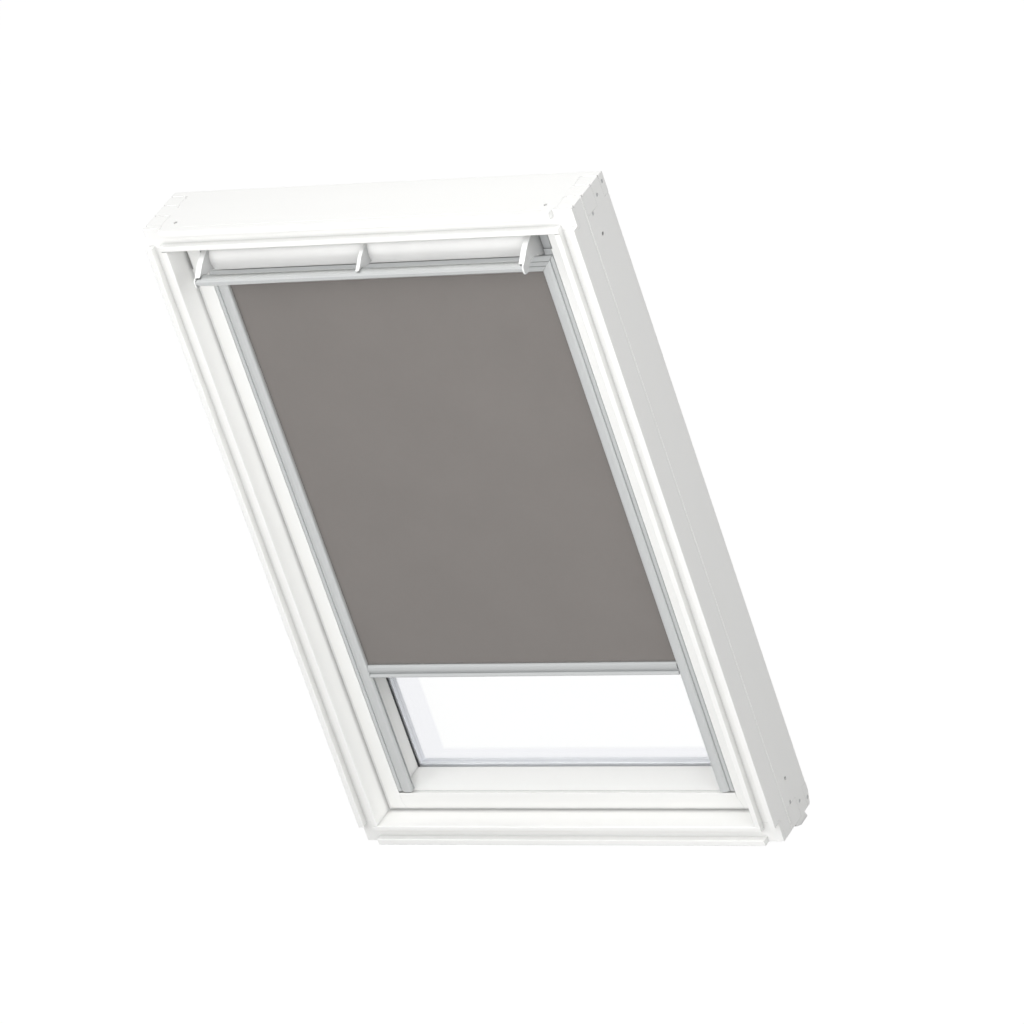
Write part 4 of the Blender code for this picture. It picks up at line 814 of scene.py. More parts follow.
class ShapeGraph(NodeGraph):
    """Builds one geometry node tree with named inputs."""

    def __init__(self, name: str, inputs: Mapping[str, str]) -> None:
        """Make a tree with a geometry input and output.

        Args:
            name: The tree's name.
            inputs: Socket type by input name, after the geometry.
        """
        super().__init__(bpy.data.node_groups.new(name, "GeometryNodeTree"))
        panel = self.tree.interface
        panel.new_socket("Geometry", in_out="INPUT", socket_type="NodeSocketGeometry")
        self.identifiers = {}
        for label, kind in inputs.items():
            socket = panel.new_socket(label, in_out="INPUT", socket_type=kind)
            self.identifiers[label] = socket.identifier
        panel.new_socket("Geometry", in_out="OUTPUT", socket_type="NodeSocketGeometry")
        self.given = self.node("NodeGroupInput")

    def end(self, geometry: bpy.types.NodeSocket) -> None:
        """Close the tree with real meshes and their finish.

        Args:
            geometry: The geometry to hand on.
        """
        real = self.node("GeometryNodeRealizeInstances", {}, {0: geometry})
        finish = self.given.outputs["Finish"]
        dressed = self.node("GeometryNodeSetMaterial", {},
                            {"Geometry": real.outputs[0], "Material": finish})
        self.node("NodeGroupOutput", {}, {0: dressed.outputs[0]})

    def grow(self, seed: bpy.types.Mesh, **values: Any) -> bpy.types.Mesh:
        """Run the tree on a seed mesh and return a plain mesh.

        Args:
            seed: The mesh that the tree starts from.
            values: Input values by name, with _ for a space.

        Returns:
            The finished mesh.
        """
        holder = bpy.data.objects.new("seed", seed)
        bpy.context.scene.collection.objects.link(holder)
        grown = holder.modifiers.new("grow", "NODES")
        grown.node_group = self.tree
        for label, value in values.items():
            grown[self.identifiers[label.replace("_", " ")]] = value
        mesh = Workshop.baked(holder)
        bpy.data.objects.remove(holder)
        return mesh


class ProfileRun(ShapeGraph):
    """Runs a closed outline, drawn in X and Y, into a solid bar along Z."""

    def __init__(self) -> None:
        """Build the tree."""
        super().__init__("profile_run",
                         {"Length": "NodeSocketFloat", "Finish": "NodeSocketMaterial"})
        curve = self.node("GeometryNodeMeshToCurve", {}, {0: self.given.outputs["Geometry"]})
        face = self.node("GeometryNodeFillCurve", {"mode": "NGONS"}, {0: curve.outputs[0]})
        run = self.node("ShaderNodeCombineXYZ", {}, {"Z": self.given.outputs["Length"]})
        walls = self.node("GeometryNodeExtrudeMesh", {"mode": "FACES"},
                          {"Mesh": face.outputs[0], "Offset": run.outputs[0], "Offset Scale": 1.0,
                           "Individual": False})
        base = self.node("GeometryNodeFlipFaces", {}, {0: face.outputs[0]})
        whole = self.node("GeometryNodeJoinGeometry")
        self.tree.links.new(walls.outputs[0], whole.inputs[0])
        self.tree.links.new(base.outputs[0], whole.inputs[0])
        welded = self.node("GeometryNodeMergeByDistance", {},
                           {"Geometry": whole.outputs[0], "Distance": WELD})
        self.end(welded.outputs[0])


class ScrewRow(ShapeGraph):
    """Sets a recessed screw on every point, turned to the point's "facing" vector."""

    HEAD_SIDES = 28
    SHANK_SIDES = 16
    EXACT = {"solver": "EXACT"}
    CROSS = ((1.05, 0.24), (0.24, 1.05))
    CROWN = 0.4
    CROWN_TOP = 0.78

    def __init__(self) -> None:
        """Build the tree."""
        sizes = ("Head Radius", "Head Height", "Shank Radius", "Length")
        super().__init__("screw_row", {**{size: "NodeSocketFloat" for size in sizes},
                                       "Finish": "NodeSocketMaterial"})
        radius = Signal(self, self.given.outputs["Head Radius"])
        height = Signal(self, self.given.outputs["Head Height"])
        length = Signal(self, self.given.outputs["Length"])
        head = self.rod(self.HEAD_SIDES, radius, height * (1 - self.CROWN),
                        height * (-(1 + self.CROWN) / 2))
        crown = self.node("GeometryNodeMeshCone", {"fill_type": "NGON"},
                          {"Vertices": self.HEAD_SIDES, "Radius Top": radius * self.CROWN_TOP,
                           "Radius Bottom": radius, "Depth": height * self.CROWN})
        crown_placed = self.moved(crown.outputs[0], height * -self.CROWN)
        shank_radius = Signal(self, self.given.outputs["Shank Radius"])
        shank = self.rod(self.SHANK_SIDES, shank_radius, length - height, length * -0.5)
        solid = self.node("GeometryNodeMeshBoolean", {"operation": "UNION", **self.EXACT})
        for part in (head, crown_placed, shank):
            self.tree.links.new(part, solid.inputs["Mesh 2"])
        arms = self.node("GeometryNodeMeshBoolean", {"operation": "UNION", **self.EXACT})
        for wide, tall in self.CROSS:
            arm_size = self.node("ShaderNodeCombineXYZ", {},
                                 {"X": radius * wide, "Y": radius * tall, "Z": height})
            arm = self.node("GeometryNodeMeshCube", {}, {"Size": arm_size.outputs[0]})
            self.tree.links.new(arm.outputs[0], arms.inputs["Mesh 2"])
        cut = self.node("GeometryNodeMeshBoolean", {"operation": "DIFFERENCE", **self.EXACT},
                        {"Mesh 1": solid.outputs[0]})
        self.tree.links.new(arms.outputs[0], cut.inputs["Mesh 2"])
        facing = self.node("GeometryNodeInputNamedAttribute", {"data_type": "FLOAT_VECTOR"},
                           {"Name": "facing"})
        turn = self.node("FunctionNodeAlignRotationToVector", {"axis": "Z"},
                         {"Vector": facing.outputs[0]})
        row = self.node("GeometryNodeInstanceOnPoints", {},
                        {"Points": self.given.outputs["Geometry"], "Instance": cut.outputs[0],
                         "Rotation": turn.outputs[0]})
        self.end(row.outputs[0])

    def moved(self, mesh: bpy.types.NodeSocket, lift: Signal) -> bpy.types.NodeSocket:
        """Move a shape along Z.

        Args:
            mesh: The shape.
            lift: How far it moves.

        Returns:
            The moved shape.
        """
        shift = self.node("ShaderNodeCombineXYZ", {}, {"Z": lift})
        node = self.node("GeometryNodeTransform", {},
                         {"Geometry": mesh, "Translation": shift.outputs[0]})
        return node.outputs[0]

    def rod(self, sides: int, radius: Signal, depth: Signal,
            middle: Signal) -> bpy.types.NodeSocket:
        """Add a cylinder along Z.

        Args:
            sides: Its number of sides.
            radius: Its radius.
            depth: Its length.
            middle: The height of its middle.

        Returns:
            The cylinder.
        """
        node = self.node("GeometryNodeMeshCylinder", {"fill_type": "NGON"},
                         {"Vertices": sides, "Radius": radius, "Depth": depth})
        return self.moved(node.outputs[0], middle)


class Workshop:
    """Turns outlines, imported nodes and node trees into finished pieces."""

    def __init__(self) -> None:
        """Build the shared node trees."""
        self.profile_run = ProfileRun()
        self.screw_row = ScrewRow()

    @staticmethod
    def baked(piece: bpy.types.Object) -> bpy.types.Mesh:
        """A plain mesh of an object with its modifiers' result."""
        seen = piece.evaluated_get(bpy.context.evaluated_depsgraph_get())
        return bpy.data.meshes.new_from_object(seen)

    @staticmethod
    def softened(mesh: bpy.types.Mesh, angle: float = SHARP_ANGLE) -> bpy.types.Mesh:
        """Shade a mesh smooth between its sharp edges, with its flats kept flat.

        Args:
            mesh: The mesh.
            angle: The angle in degrees from which an edge is sharp.

        Returns:
            The mesh with its normals weighted by area.
        """
        mesh.shade_smooth()
        mesh.set_sharp_from_angle(angle=math.radians(angle))
        holder = bpy.data.objects.new("soften", mesh)
        bpy.context.scene.collection.objects.link(holder)
        weighted = holder.modifiers.new("weighted", "WEIGHTED_NORMAL")
        weighted.keep_sharp = True
        weighted.weight = FLATNESS
        made = Workshop.baked(holder)
        bpy.data.objects.remove(holder)
        return made

    @staticmethod
    def piece(name: str, mesh: bpy.types.Mesh, finish: Finish, body: Optional[Body],
              stands_for: Iterable[str] = ()) -> bpy.types.Object:
        """Make a finished piece that rides on its body.

        Args:
            name: The piece's name.
            mesh: Its mesh, in place.
            finish: Its finish.
            body: What it rides on, or None where it is blended later.
            stands_for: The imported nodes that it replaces.

        Returns:
            The piece.
        """
        mesh.materials.clear()
        mesh.materials.append(finish.material())
        mesh.name = name
        made = bpy.data.objects.new(name, mesh)
        bpy.context.scene.collection.objects.link(made)
        if body is not None:
            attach(made, body.value)
        nodes = list(stands_for)
        if nodes:
            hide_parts(*nodes)
        LOG.info("%s: %d faces, %s", name, len(mesh.polygons), finish.name)
        return made

    def run(self, outline: Sequence[Point], half: float, finish: Finish) -> bpy.types.Mesh:
        """Run an outline across the window into a straight solid.

        Args:
            outline: The closed outline in (y, z).
            half: How far the solid reaches to each side of the middle.
            finish: Its finish.

        Returns:
            The mesh in place.
        """
        seed = bpy.data.meshes.new("outline")
        count = len(outline)
        edges = [(index, (index + 1) % count) for index in range(count)]
        seed.from_pydata([(a, b, 0.0) for a, b in outline], edges, [])
        mesh = self.profile_run.grow(seed, Length=2 * half, Finish=finish.material())
        mesh.transform(ACROSS @ Matrix.Translation((0, 0, -half)))
        return self.outwards(mesh)

    @staticmethod
    def skinned(name: str, rings: Sequence[Sequence[Triple]], capped: bool = False) -> bpy.types.Mesh:
        """Join rings of points into a closed skin; the last ring meets the first.

        Args:
            name: The mesh's name.
            rings: The rings, each with as many points as the others.
            capped: Whether each ring is an open line, with a face over the lines' ends.

        Returns:
            The mesh in place.
        """
        shape = bmesh.new()
        lines = [[shape.verts.new(point) for point in ring] for ring in rings]
        count = len(lines[0])
        for first, second in zip(lines, lines[1:] + lines[:1]):
            for index in range(count - 1 if capped else count):
                after = (index + 1) % count
                shape.faces.new((first[index], first[after], second[after], second[index]))
        if capped:
            for end in (0, count - 1):
                shape.faces.new([line[end] for line in lines])
        mesh = bpy.data.meshes.new(name)
        shape.to_mesh(mesh)
        shape.free()
        return Workshop.outwards(mesh)

    @staticmethod
    def outwards(mesh: bpy.types.Mesh) -> bpy.types.Mesh:
        """Weld a mesh and turn its faces outwards.

        Args:
            mesh: The mesh, which is changed in place.

        Returns:
            The same mesh.
        """
        shape = bmesh.new()
        shape.from_mesh(mesh)
        bmesh.ops.remove_doubles(shape, verts=shape.verts, dist=WELD)
        bmesh.ops.recalc_face_normals(shape, faces=shape.faces)
        shape.to_mesh(mesh)
        shape.free()
        return mesh

    def dressed(self, node: str, finish: Finish, body: Body,
                angle: float = SHARP_ANGLE) -> bpy.types.Object:
        """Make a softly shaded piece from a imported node's own shape.

        Args:
            node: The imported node.
            finish: The piece's finish.
            body: What it rides on.
            angle: The angle in degrees from which an edge stays sharp.

        Returns:
            The piece that stands for the node.
        """
        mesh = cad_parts[node].data.copy()
        names = [found.name for found in mesh.attributes if found.name.startswith("custom_normal")]
        for name in names:
            mesh.attributes.remove(mesh.attributes[name])
        shape = bmesh.new()
        shape.from_mesh(mesh)
        bmesh.ops.remove_doubles(shape, verts=shape.verts, dist=2 * WELD)
        shape.to_mesh(mesh)
        shape.free()
        return self.piece(node + "_dressed", self.softened(mesh, angle), finish, body, [node])

    @staticmethod
    def paint(nodes: Iterable[str], finish: Finish) -> None:
        """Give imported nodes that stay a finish.

        Args:
            nodes: The nodes' names.
            finish: The finish.
        """
        for name in nodes:
            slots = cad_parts[name].data.materials
            slots.clear()
            slots.append(finish.material())
            LOG.info("%s: kept, %s", name, finish.name)

    def screws(self, name: str, spots: Sequence[tuple[Triple, Triple]], sizes: Sequence[float],
               body: Body, stands_for: Sequence[str]) -> bpy.types.Object:
        """Set a row of screws.

        Args:
            name: The piece's name.
            spots: Each screw's place and the way that its head faces.
            sizes: Head radius, head height, shank radius and length over all.
            body: What the screws ride on.
            stands_for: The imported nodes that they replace.

        Returns:
            The piece.
        """
        seed = bpy.data.meshes.new("spots")
        seed.from_pydata([spot[0] for spot in spots], [], [])
        facing = seed.attributes.new("facing", "FLOAT_VECTOR", "POINT")
        facing.data.foreach_set("vector", [part for spot in spots for part in spot[1]])
        mesh = self.screw_row.grow(seed, Head_Radius=sizes[0], Head_Height=sizes[1],
                                   Shank_Radius=sizes[2], Length=sizes[3],
                                   Finish=Finishes.STEEL.material())
        return self.piece(name, self.softened(mesh), Finishes.STEEL, body, stands_for)


@dataclass
class OuterFrame:
    """The fixed frame with its comb joints, screws and pivot sockets."""

    shop: Workshop
    width: float = 0.780
    height: float = 1.178
    screw_spots: tuple[Point, ...] = ((0.0135, 0.118), (0.023, 0.093), (0.0405, 0.066))
    screw_sunk: float = 0.0006
    screw_sizes: tuple[float, ...] = (0.003, 0.0016, 0.002, 0.012)

    def build(self) -> None:
        """Dress the members and set the screws."""
        for side in Side:
            self.shop.dressed("frame_" + side.word, Finishes.STILE_LACQUER, Body.FRAME)
        for end in ("bottom", "top"):
            self.shop.dressed("frame_" + end, Finishes.RAIL_LACQUER, Body.FRAME)
        self.shop.paint(("pivot_socket_left", "pivot_socket_right"), Finishes.STEEL)
        self.set_screws()

    def set_screws(self) -> None:
        """Sink the corner screws in the side faces."""
        spots, nodes = [], []
        for side in Side:
            x = side.value * (self.width / 2 - self.screw_sunk)
            for number, (inset, depth) in enumerate(self.screw_spots, start=1):
                for end, z in (("bottom", inset), ("top", self.height - inset)):
                    spots.append(((x, FRONT_Y + depth, z), (side.value, 0.0, 0.0)))
                    nodes.append(f"corner_screw_{side.word}_{end}_{number}")
        self.shop.screws("corner_screws", spots, self.screw_sizes, Body.FRAME, nodes)


@dataclass
class Sash:
    """The pivoting sash: members, seals, pivot pins and flap bearings."""

    shop: Workshop
    half_width: float = 0.349
    low: float = 0.041
    lip_top: float = 1.080
    lip_reach: Point = (0.0037, 0.0026)
    lip_depth: Point = (0.0492, 0.0518)
    lip_root: Point = (0.0002, 0.0002)
    lip_heel: Point = (0.0012, 0.0009)
    lip_edge: float = 0.0008

    def build(self) -> None:
        """Dress the members, make the lip seal and finish the hardware."""
        self.make_lip_seal()
        for side in Side:
            self.shop.dressed("sash_stile_" + side.word, Finishes.STILE_LACQUER, Body.SASH)
            self.shop.dressed("flap_bearing_" + side.word, Finishes.GREY_MOULDING, Body.SASH)
        for end in ("bottom", "top"):
            self.shop.dressed("sash_rail_" + end, Finishes.RAIL_LACQUER, Body.SASH)
        self.shop.paint(("pivot_pin_left", "pivot_pin_right"), Finishes.STEEL)
        self.shop.paint(("sash_seal",), Finishes.SEAL)

    def make_lip_seal(self) -> None:
        """Make the pale lip that closes the gap at the sash's sides and foot."""
        front, back = self.lip_depth
        profile = ((self.lip_root, front + self.lip_edge / 2), (self.lip_reach, front),
                   (self.lip_reach, front + self.lip_edge), (self.lip_heel, back),
                   (self.lip_root, back))
        rings = []
        for (beside, below), depth in profile:
            x, y, z = self.half_width + beside, FRONT_Y + depth, self.low - below
            rings.append(((-x, y, self.lip_top), (-x, y, z), (x, y, z), (x, y, self.lip_top)))
        mesh = self.shop.skinned("lip_seal", rings, capped=True)
        self.shop.piece("lip_seal", self.shop.softened(mesh), Finishes.LIP, Body.SASH)


@dataclass
class Glazing:
    """The sealed double pane with its gasket and outer beads."""

    shop: Workshop
    spacer_half: Point = (0.316, 0.512)
    spacer_middle: float = 0.589
    spacer_front: float = 0.1026
    spacer_depth: float = 0.016
    spacer_height: float = 0.0150
    spacer_fold: float = 0.0007
    channel_start: float = 0.0028
    channel_slope: float = 0.0007
    channel_sunk: float = 0.00042

    def build(self) -> None:
        """Make the spacer and finish the glazing's other parts."""
        self.make_spacer()
        self.shop.paint(("inner_pane",), Finishes.GLASS)
        self.shop.paint(("outer_pane",), Finishes.OUTER_GLASS)
        self.shop.paint(("glazing_gasket",), Finishes.RUBBER)
        self.shop.paint(("outer_bead_left", "outer_bead_right"), Finishes.CHANNEL_METAL)
        self.shop.paint(("outer_bead_top", "outer_bead_bottom"), Finishes.CASING_METAL)

    def make_spacer(self) -> None:
        """Make the spacer tube with folded edges and a shallow channel for its holes."""
        front, back = self.spacer_front, self.spacer_front + self.spacer_depth
        fold, top = self.spacer_fold, self.spacer_height
        floor, rim = top - self.channel_sunk, self.channel_start
        slope = rim + self.channel_slope
        profile = ((0.0, back), (0.0, front), (top - fold, front), (top, front + fold),
                   (top, front + rim), (floor, front + slope), (floor, back - slope),
                   (top, back - rim), (top, back - fold), (top - fold, back))
        rings = []
        for inset, depth in profile:
            wide, tall = self.spacer_half[0] - inset, self.spacer_half[1] - inset
            rings.append([(x * wide, FRONT_Y + depth, self.spacer_middle + z * tall)
                          for x, z in ((-1, -1), (1, -1), (1, 1), (-1, 1))])
        mesh = self.shop.skinned("spacer_tube", rings)
        self.shop.piece("spacer_tube", self.shop.softened(mesh), Finishes.SPACER, Body.SASH,
                        ["glazing_spacer"])


@dataclass
class VentFlap:
    """The curved ventilation flap, its arms and the bar that opens the window."""

    shop: Workshop
    axis: Point = (-0.0185, 1.111)
    radius: float = 0.0283
    wall: float = 0.003
    sweep: Point = (-80.0, 41.0)
    steps: tuple[int, int] = (56, 50)
    cover_half: float = 0.290
    bar_middle: Point = (-0.0835, 1.0974)
    bar_size: Point = (0.018, 0.0164)
    bar_wall: float = 0.0018
    bar_half: float = 0.2972
    bar_nose: float = 0.38
    bar_toe: float = 0.30
    bar_heel: float = 0.12
    bar_crown: tuple[Point, ...] = ((0.0, 0.10), (0.10, 0.01), (0.35, 0.02), (0.62, 0.10),
                                    (0.86, 0.21), (0.97, 0.28))
    belly_steps: int = 18

    def build(self) -> None:
        """Make the cover and the bar and dress the arms."""
        self.make_cover()
        self.make_bar()
        for name in ("flap_end_left", "flap_end_right", "middle_arm"):
            self.shop.dressed(name, Finishes.ARM_PLASTIC, Body.FLAP)

    def make_cover(self) -> None:
        """Make the curved cover as a shell of an even wall."""
        start, end = self.sweep
        outer = Outline.turned(self.axis, self.radius, start, end, self.steps[0])
        inner = Outline.turned(self.axis, self.radius - self.wall, end, start, self.steps[1])
        mesh = self.shop.run(outer + inner, self.cover_half, Finishes.FLAP_PLASTIC)
        self.shop.piece("flap_cover_shell", self.shop.softened(mesh), Finishes.FLAP_PLASTIC,
                        Body.FLAP, ["flap_cover"])

    def bar_outline(self, wall: float) -> list[Point]:
        """The bar's outline, or its bore's.

        Args:
            wall: How far inside the bar's surface the outline lies.

        Returns:
            The outline in (y, z).
        """
        y, z = self.bar_middle
        depth = self.bar_size[0] - 2 * wall
        height = self.bar_size[1] - 2 * wall
        back, front, top = y + depth / 2, y - depth / 2, z + height / 2
        nose, toe = height * self.bar_nose, depth * self.bar_toe
        sweep = [math.radians(90 * step / self.belly_steps) for step in range(1, self.belly_steps + 1)]
        belly = [(back - toe - (depth - toe) * math.cos(angle),
                  top - nose - (height - nose) * math.sin(angle)) for angle in sweep]
        crown = Outline.flowing([*((back - depth * way, top - height * drop)
                                   for way, drop in self.bar_crown), (front, top - nose)])
        return [*crown, *belly, (back, z - height * self.bar_heel)]

    def make_bar(self) -> None:
        """Make the control bar with its bore, open at both ends."""
        outer, bore = self.bar_outline(0.0), self.bar_outline(self.bar_wall)
        rings = [[(end * self.bar_half, y, z) for y, z in points]
                 for points, end in ((outer, -1), (outer, 1), (bore, 1), (bore, -1))]
        mesh = self.shop.skinned("control_bar", rings)
        self.shop.piece("control_bar_tube", self.shop.softened(mesh), Finishes.BAR_METAL,
                        Body.FLAP, ["control_bar"])


@dataclass
class BlindCase:
    """Casing, side channels and what they hold: screws, brackets, axle and roller."""

    shop: Workshop
    casing_half: float = 0.30761
    screw_shares: tuple[float, ...] = (-0.78, -0.195, 0.195, 0.78)
    screw_height: float = 1.0949
    screw_depth: float = 0.0711
    screw_sizes: tuple[float, ...] = (0.0035, 0.0018, 0.0018, 0.0156)
    channel_sharp_angle: float = 46.0

    def build(self) -> None:
        """Dress the metal and finish the mechanism."""
        for side in Side:
            self.shop.dressed("channel_" + side.word, Finishes.CHANNEL_METAL, Body.SASH,
                              self.channel_sharp_angle)
        self.shop.dressed("blind_casing", Finishes.CASING_METAL, Body.SASH)
        self.shop.paint(("roller_bracket_left", "roller_bracket_right", "spring_motor",
                         "roller_plug_left", "roller_plug_right"), Finishes.GREY_MOULDING)
        self.shop.paint(("roller_axle",), Finishes.STEEL)
        self.shop.paint(("roller_tube",), Finishes.CASING_METAL)
        self.set_screws()

    def set_screws(self) -> None:
        """Set the screws in the casing's flange."""
        places = [share * self.casing_half for share in self.screw_shares]
        spots = [((x, FRONT_Y + self.screw_depth, self.screw_height), (0.0, -1.0, 0.0))
                 for x in places]
        nodes = [f"casing_screw_{number}" for number in range(1, len(places) + 1)]
        self.shop.screws("casing_screws", spots, self.screw_sizes, Body.SASH, nodes)


@dataclass
class BlindCurtain:
    """The cloth with the bar at its foot."""

    shop: Workshop
    half_width: float = 0.300
    depth: float = 0.0433
    top: float = 1.0704
    bar_top: float = 0.3298
    grip: float = 0.005
    thickness: float = 0.0005
    columns: int = 24
    bar_half: float = 0.2874
    bar_height: float = 0.022
    bar_front: float = 0.0356
    bar_back: float = 0.0468
    slack: float = 0.0004
    slot_play: float = 0.0006
    slot_extra: float = 0.0003
    bar_crown: tuple[Point, ...] = ((0.0036, 0.0), (0.0014, 0.10), (0.0002, 0.26), (0.0, 0.44),
                                    (0.0016, 0.60))
    bar_neck: Point = (0.0034, 0.645)
    bar_grip: tuple[Point, ...] = ((0.0034, 0.70), (0.0008, 0.76), (-0.0016, 0.90),
                                   (-0.0011, 0.98182), (0.0008, 1.0), (0.0034, 0.90), (0.0056, 0.78))
    bar_heel: float = 0.75

    def build(self) -> None:
        """Make the cloth and its bar."""
        self.make_cloth()
        self.make_bar()
        self.shop.paint(("wound_fabric",), Finishes.CLOTH)
        for side in Side:
            self.shop.dressed("bar_guide_" + side.word, Finishes.GREY_MOULDING, Body.BAR)

    def make_cloth(self) -> None:
        """Make the drawn cloth, whose foot follows the bar and whose top stays at the roller."""
        low = self.bar_top - self.grip + self.slack
        middle = FRONT_Y + self.depth
        shape = bmesh.new()
        layer = shape.loops.layers.uv.new("UVMap")
        grid = []
        for side in (-1, 1):
            for z in (low, self.top):
                row = []
                for column in range(self.columns + 1):
                    x = -self.half_width + 2 * self.half_width * column / self.columns
                    row.append(shape.verts.new((x, middle + side * self.thickness / 2, z)))
                grid.append(row)
        front_low, front_top, back_low, back_top = grid
        for first, second in ((front_low, front_top), (back_top, back_low), (front_top, back_top),
                              (back_low, front_low)):
            for index in range(self.columns):
                after = index + 1
                shape.faces.new((first[index], first[after], second[after], second[index]))
        for index in (0, self.columns):
            shape.faces.new((front_low[index], front_top[index], back_top[index], back_low[index]))
        bmesh.ops.recalc_face_normals(shape, faces=shape.faces)
        for face in shape.faces:
            for loop in face.loops:
                loop[layer].uv = (loop.vert.co.x, loop.vert.co.z)
        mesh = bpy.data.meshes.new("blind_cloth")
        shape.to_mesh(mesh)
        shape.free()
        cloth = self.shop.piece("blind_cloth", mesh, Finishes.CLOTH, None, ["blind_fabric"])
        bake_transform(cloth, Body.SASH.value, Body.BAR.value, start=(0, middle, self.top),
                 end=(0, middle, low))

    def bar_outline(self) -> list[Point]:
        """The foot bar's outline, with its grip lip and the slot for the cloth.

        Returns:
            The outline in (y, z).
        """
        top, height = self.bar_top, self.bar_height
        slot, floor = self.thickness / 2 + self.slot_play, top - self.grip - self.slot_extra
        crown, neck, grip = ([(self.bar_front + way, top - height * drop) for way, drop in points]
                             for points in (self.bar_crown, [self.bar_neck], self.bar_grip))
        profile = [(self.bar_back, top), (self.depth + slot, top), (self.depth + slot, floor),
                   (self.depth - slot, floor), (self.depth - slot, top),
                   *Outline.flowing(crown, steps=6), *neck, *Outline.flowing(grip),
                   (self.bar_back, top - height * self.bar_heel)]
        return [(FRONT_Y + depth, z) for depth, z in profile]

    def make_bar(self) -> None:
        """Make the foot bar."""
        mesh = self.shop.run(self.bar_outline(), self.bar_half, Finishes.CASING_METAL)
        self.shop.piece("bottom_bar_profile", self.shop.softened(mesh), Finishes.CASING_METAL,
                        Body.BAR, ["bottom_bar"])


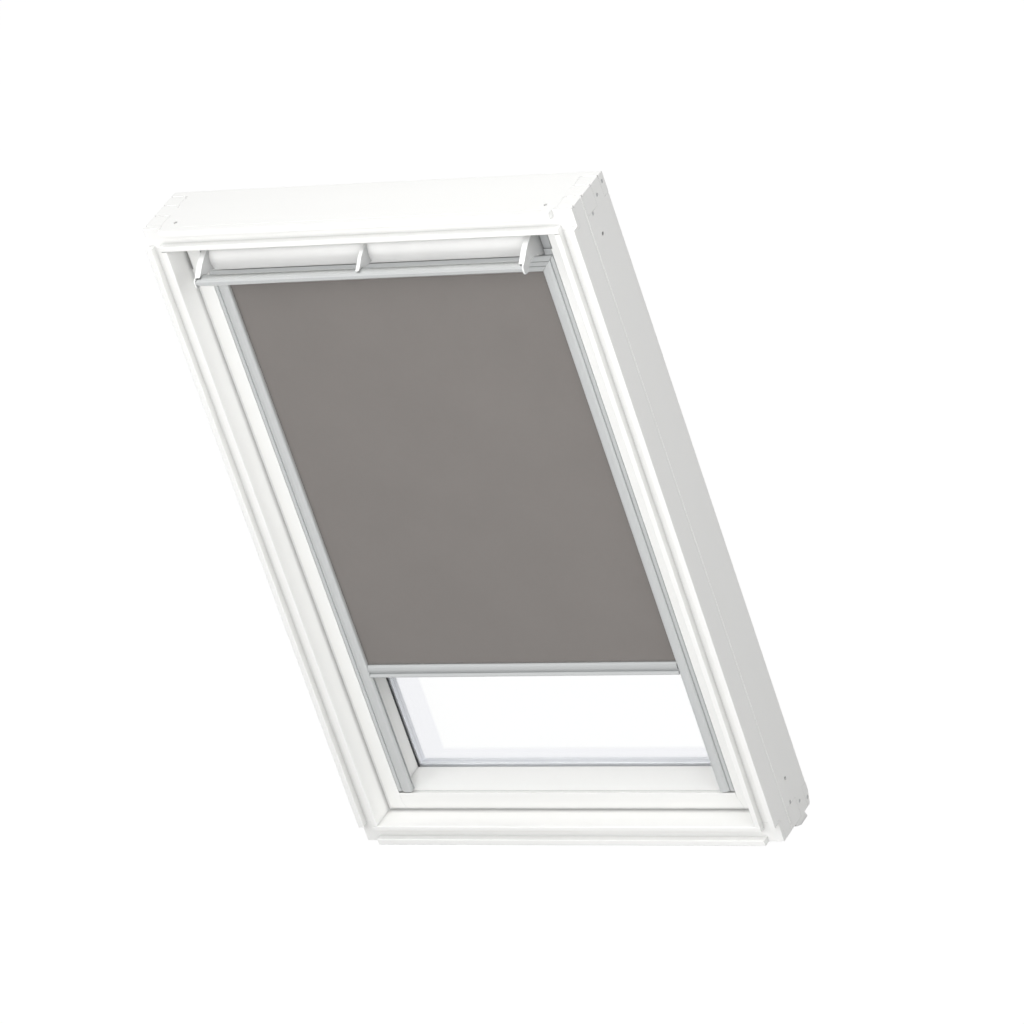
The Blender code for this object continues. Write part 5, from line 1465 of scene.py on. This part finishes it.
@dataclass
class Studio:
    """Camera, lights, floor and the white surroundings."""

    target: Triple = (0.0, FRONT_Y, 0.589)
    reach: Triple = (5.91423, -8.30040, 5.32300)
    right: Triple = (0.86089728, 0.41655555, -0.29212559)
    up: Triple = (0.02012786, 0.54583606, 0.8376502)
    lens: float = 255.28
    sensor: float = 36.0
    clip: Point = (0.1, 100.0)
    floor_z: float = -0.0117
    floor_half: float = 40.0
    floor_share: float = 0.94
    world_light: float = 0.385
    gloss_light: float = 1.0
    floor_colour: float = 0.35
    floor_gloss: float = 0.64
    floor_white: float = 1.06
    lamps: tuple[tuple[Triple, float, float], ...] = (
        ((-2.6, -3.6, 3.4), 3.0, 51.0),
        ((0.0, -0.4, 3.6), 1.5, 23.5),
        ((3.5, -1.5, 2.6), 3.0, 70.0),
        ((0.36, -3.2, 2.4), 1.0, 28.0),
        ((0.37, -1.5, 1.9), 0.7, 4.4),
        ((0.90, -2.9, 0.3), 1.2, 28.0),
    )

    def build(self) -> None:
        """Set up the whole studio."""
        self.set_camera()
        self.set_world()
        self.lay_floor()
        for number, (place, size, power) in enumerate(self.lamps, start=1):
            self.hang_lamp(f"softbox_{number}", place, size, power)
        bpy.context.scene.view_settings.view_transform = "Standard"

    def set_camera(self) -> None:
        """Stand the camera where the photograph was taken."""
        data = bpy.data.cameras.new("camera")
        data.lens, data.sensor_width = self.lens, self.sensor
        data.clip_start, data.clip_end = self.clip
        camera = bpy.data.objects.new("camera", data)
        right, up = Vector(self.right).normalized(), Vector(self.up).normalized()
        back = right.cross(up)
        spot = Vector(self.target) + Vector(self.reach)
        columns = Matrix((right, up, back)).transposed().to_4x4()
        camera.matrix_world = Matrix.Translation(spot) @ columns
        bpy.context.scene.collection.objects.link(camera)
        bpy.context.scene.camera = camera

    @staticmethod
    def seen_through(graph: NodeGraph) -> Signal:
        """Tell the camera's rays, also those through glass, from the others.

        Args:
            graph: The world's or the floor's nodes.

        Returns:
            One for those rays and zero for the others.
        """
        rays = graph.node("ShaderNodeLightPath").outputs
        found = [Signal(graph, rays[name]) for name in ("Is Camera Ray", "Is Transmission Ray")]
        return graph.maths("MINIMUM", found[0] + found[1], 1.0)

    def set_world(self) -> None:
        """Give a white surround that lights the window at a plain level."""
        world = bpy.data.worlds.new("surround")
        world.use_nodes = True
        bpy.context.scene.world = world
        graph = NodeGraph(world.node_tree)
        seen = self.seen_through(graph)
        glossy = Signal(graph, graph.node("ShaderNodeLightPath").outputs["Is Glossy Ray"])
        light = self.world_light + glossy * (self.gloss_light - self.world_light)
        strength = seen + (1.0 - seen) * light
        shader = graph.node("ShaderNodeBackground", {},
                            {"Color": (1.0, 1.0, 1.0, 1.0), "Strength": strength})
        graph.node("ShaderNodeOutputWorld", {}, {"Surface": shader.outputs[0]})

    def lay_floor(self) -> None:
        """Lay a floor that reads white, keeps a faint shadow and throws little light back up."""
        mesh = bpy.data.meshes.new("floor")
        corners = ((-1, -1), (1, -1), (1, 1), (-1, 1))
        mesh.from_pydata([(x * self.floor_half, y * self.floor_half, self.floor_z) for x, y in corners],
                         [], [(0, 1, 2, 3)])
        graph = SurfaceGraph("studio_floor")
        level = self.floor_colour
        plain = graph.node("ShaderNodeBsdfDiffuse", {}, {"Color": (level, level, level, 1.0)})
        bright = graph.node("ShaderNodeEmission", {}, {"Color": (1.0, 1.0, 1.0, 1.0),
                                                       "Strength": self.floor_white})
        glossy = Signal(graph, graph.node("ShaderNodeLightPath").outputs["Is Glossy Ray"])
        seen = self.seen_through(graph) * self.floor_share
        share = graph.maths("MINIMUM", seen + glossy * self.floor_gloss, self.floor_share)
        mixed = graph.node("ShaderNodeMixShader", {},
                           {0: share, 1: plain.outputs[0], 2: bright.outputs[0]})
        graph.node("ShaderNodeOutputMaterial", {}, {"Surface": mixed.outputs[0]})
        mesh.materials.append(graph.material)
        floor = bpy.data.objects.new("floor", mesh)
        bpy.context.scene.collection.objects.link(floor)

    def hang_lamp(self, name: str, place: Triple, size: float, power: float) -> None:
        """Hang a soft square lamp that looks at the window's middle.

        Args:
            name: The lamp's name.
            place: Where it hangs.
            size: Its side length.
            power: Its power in watts.
        """
        data = bpy.data.lights.new(name, "AREA")
        data.shape = "SQUARE"
        data.size = size
        data.energy = power
        lamp = bpy.data.objects.new(name, data)
        lamp.location = place
        aim = Vector(self.target) - Vector(place)
        lamp.rotation_euler = aim.to_track_quat("-Z", "Y").to_euler()
        lamp.visible_glossy = False
        bpy.context.scene.collection.objects.link(lamp)


def main() -> None:
    """Build the window's looks in order."""
    logging.basicConfig(level=logging.INFO, format="%(name)s: %(message)s")
    shop = Workshop()
    Studio().build()
    for kind in (OuterFrame, Sash, Glazing, VentFlap, BlindCase, BlindCurtain):
        assembly = kind(shop)
        assembly.build()
        LOG.info("%s is done", type(assembly).__name__)


if __name__ == "__main__":
    main()
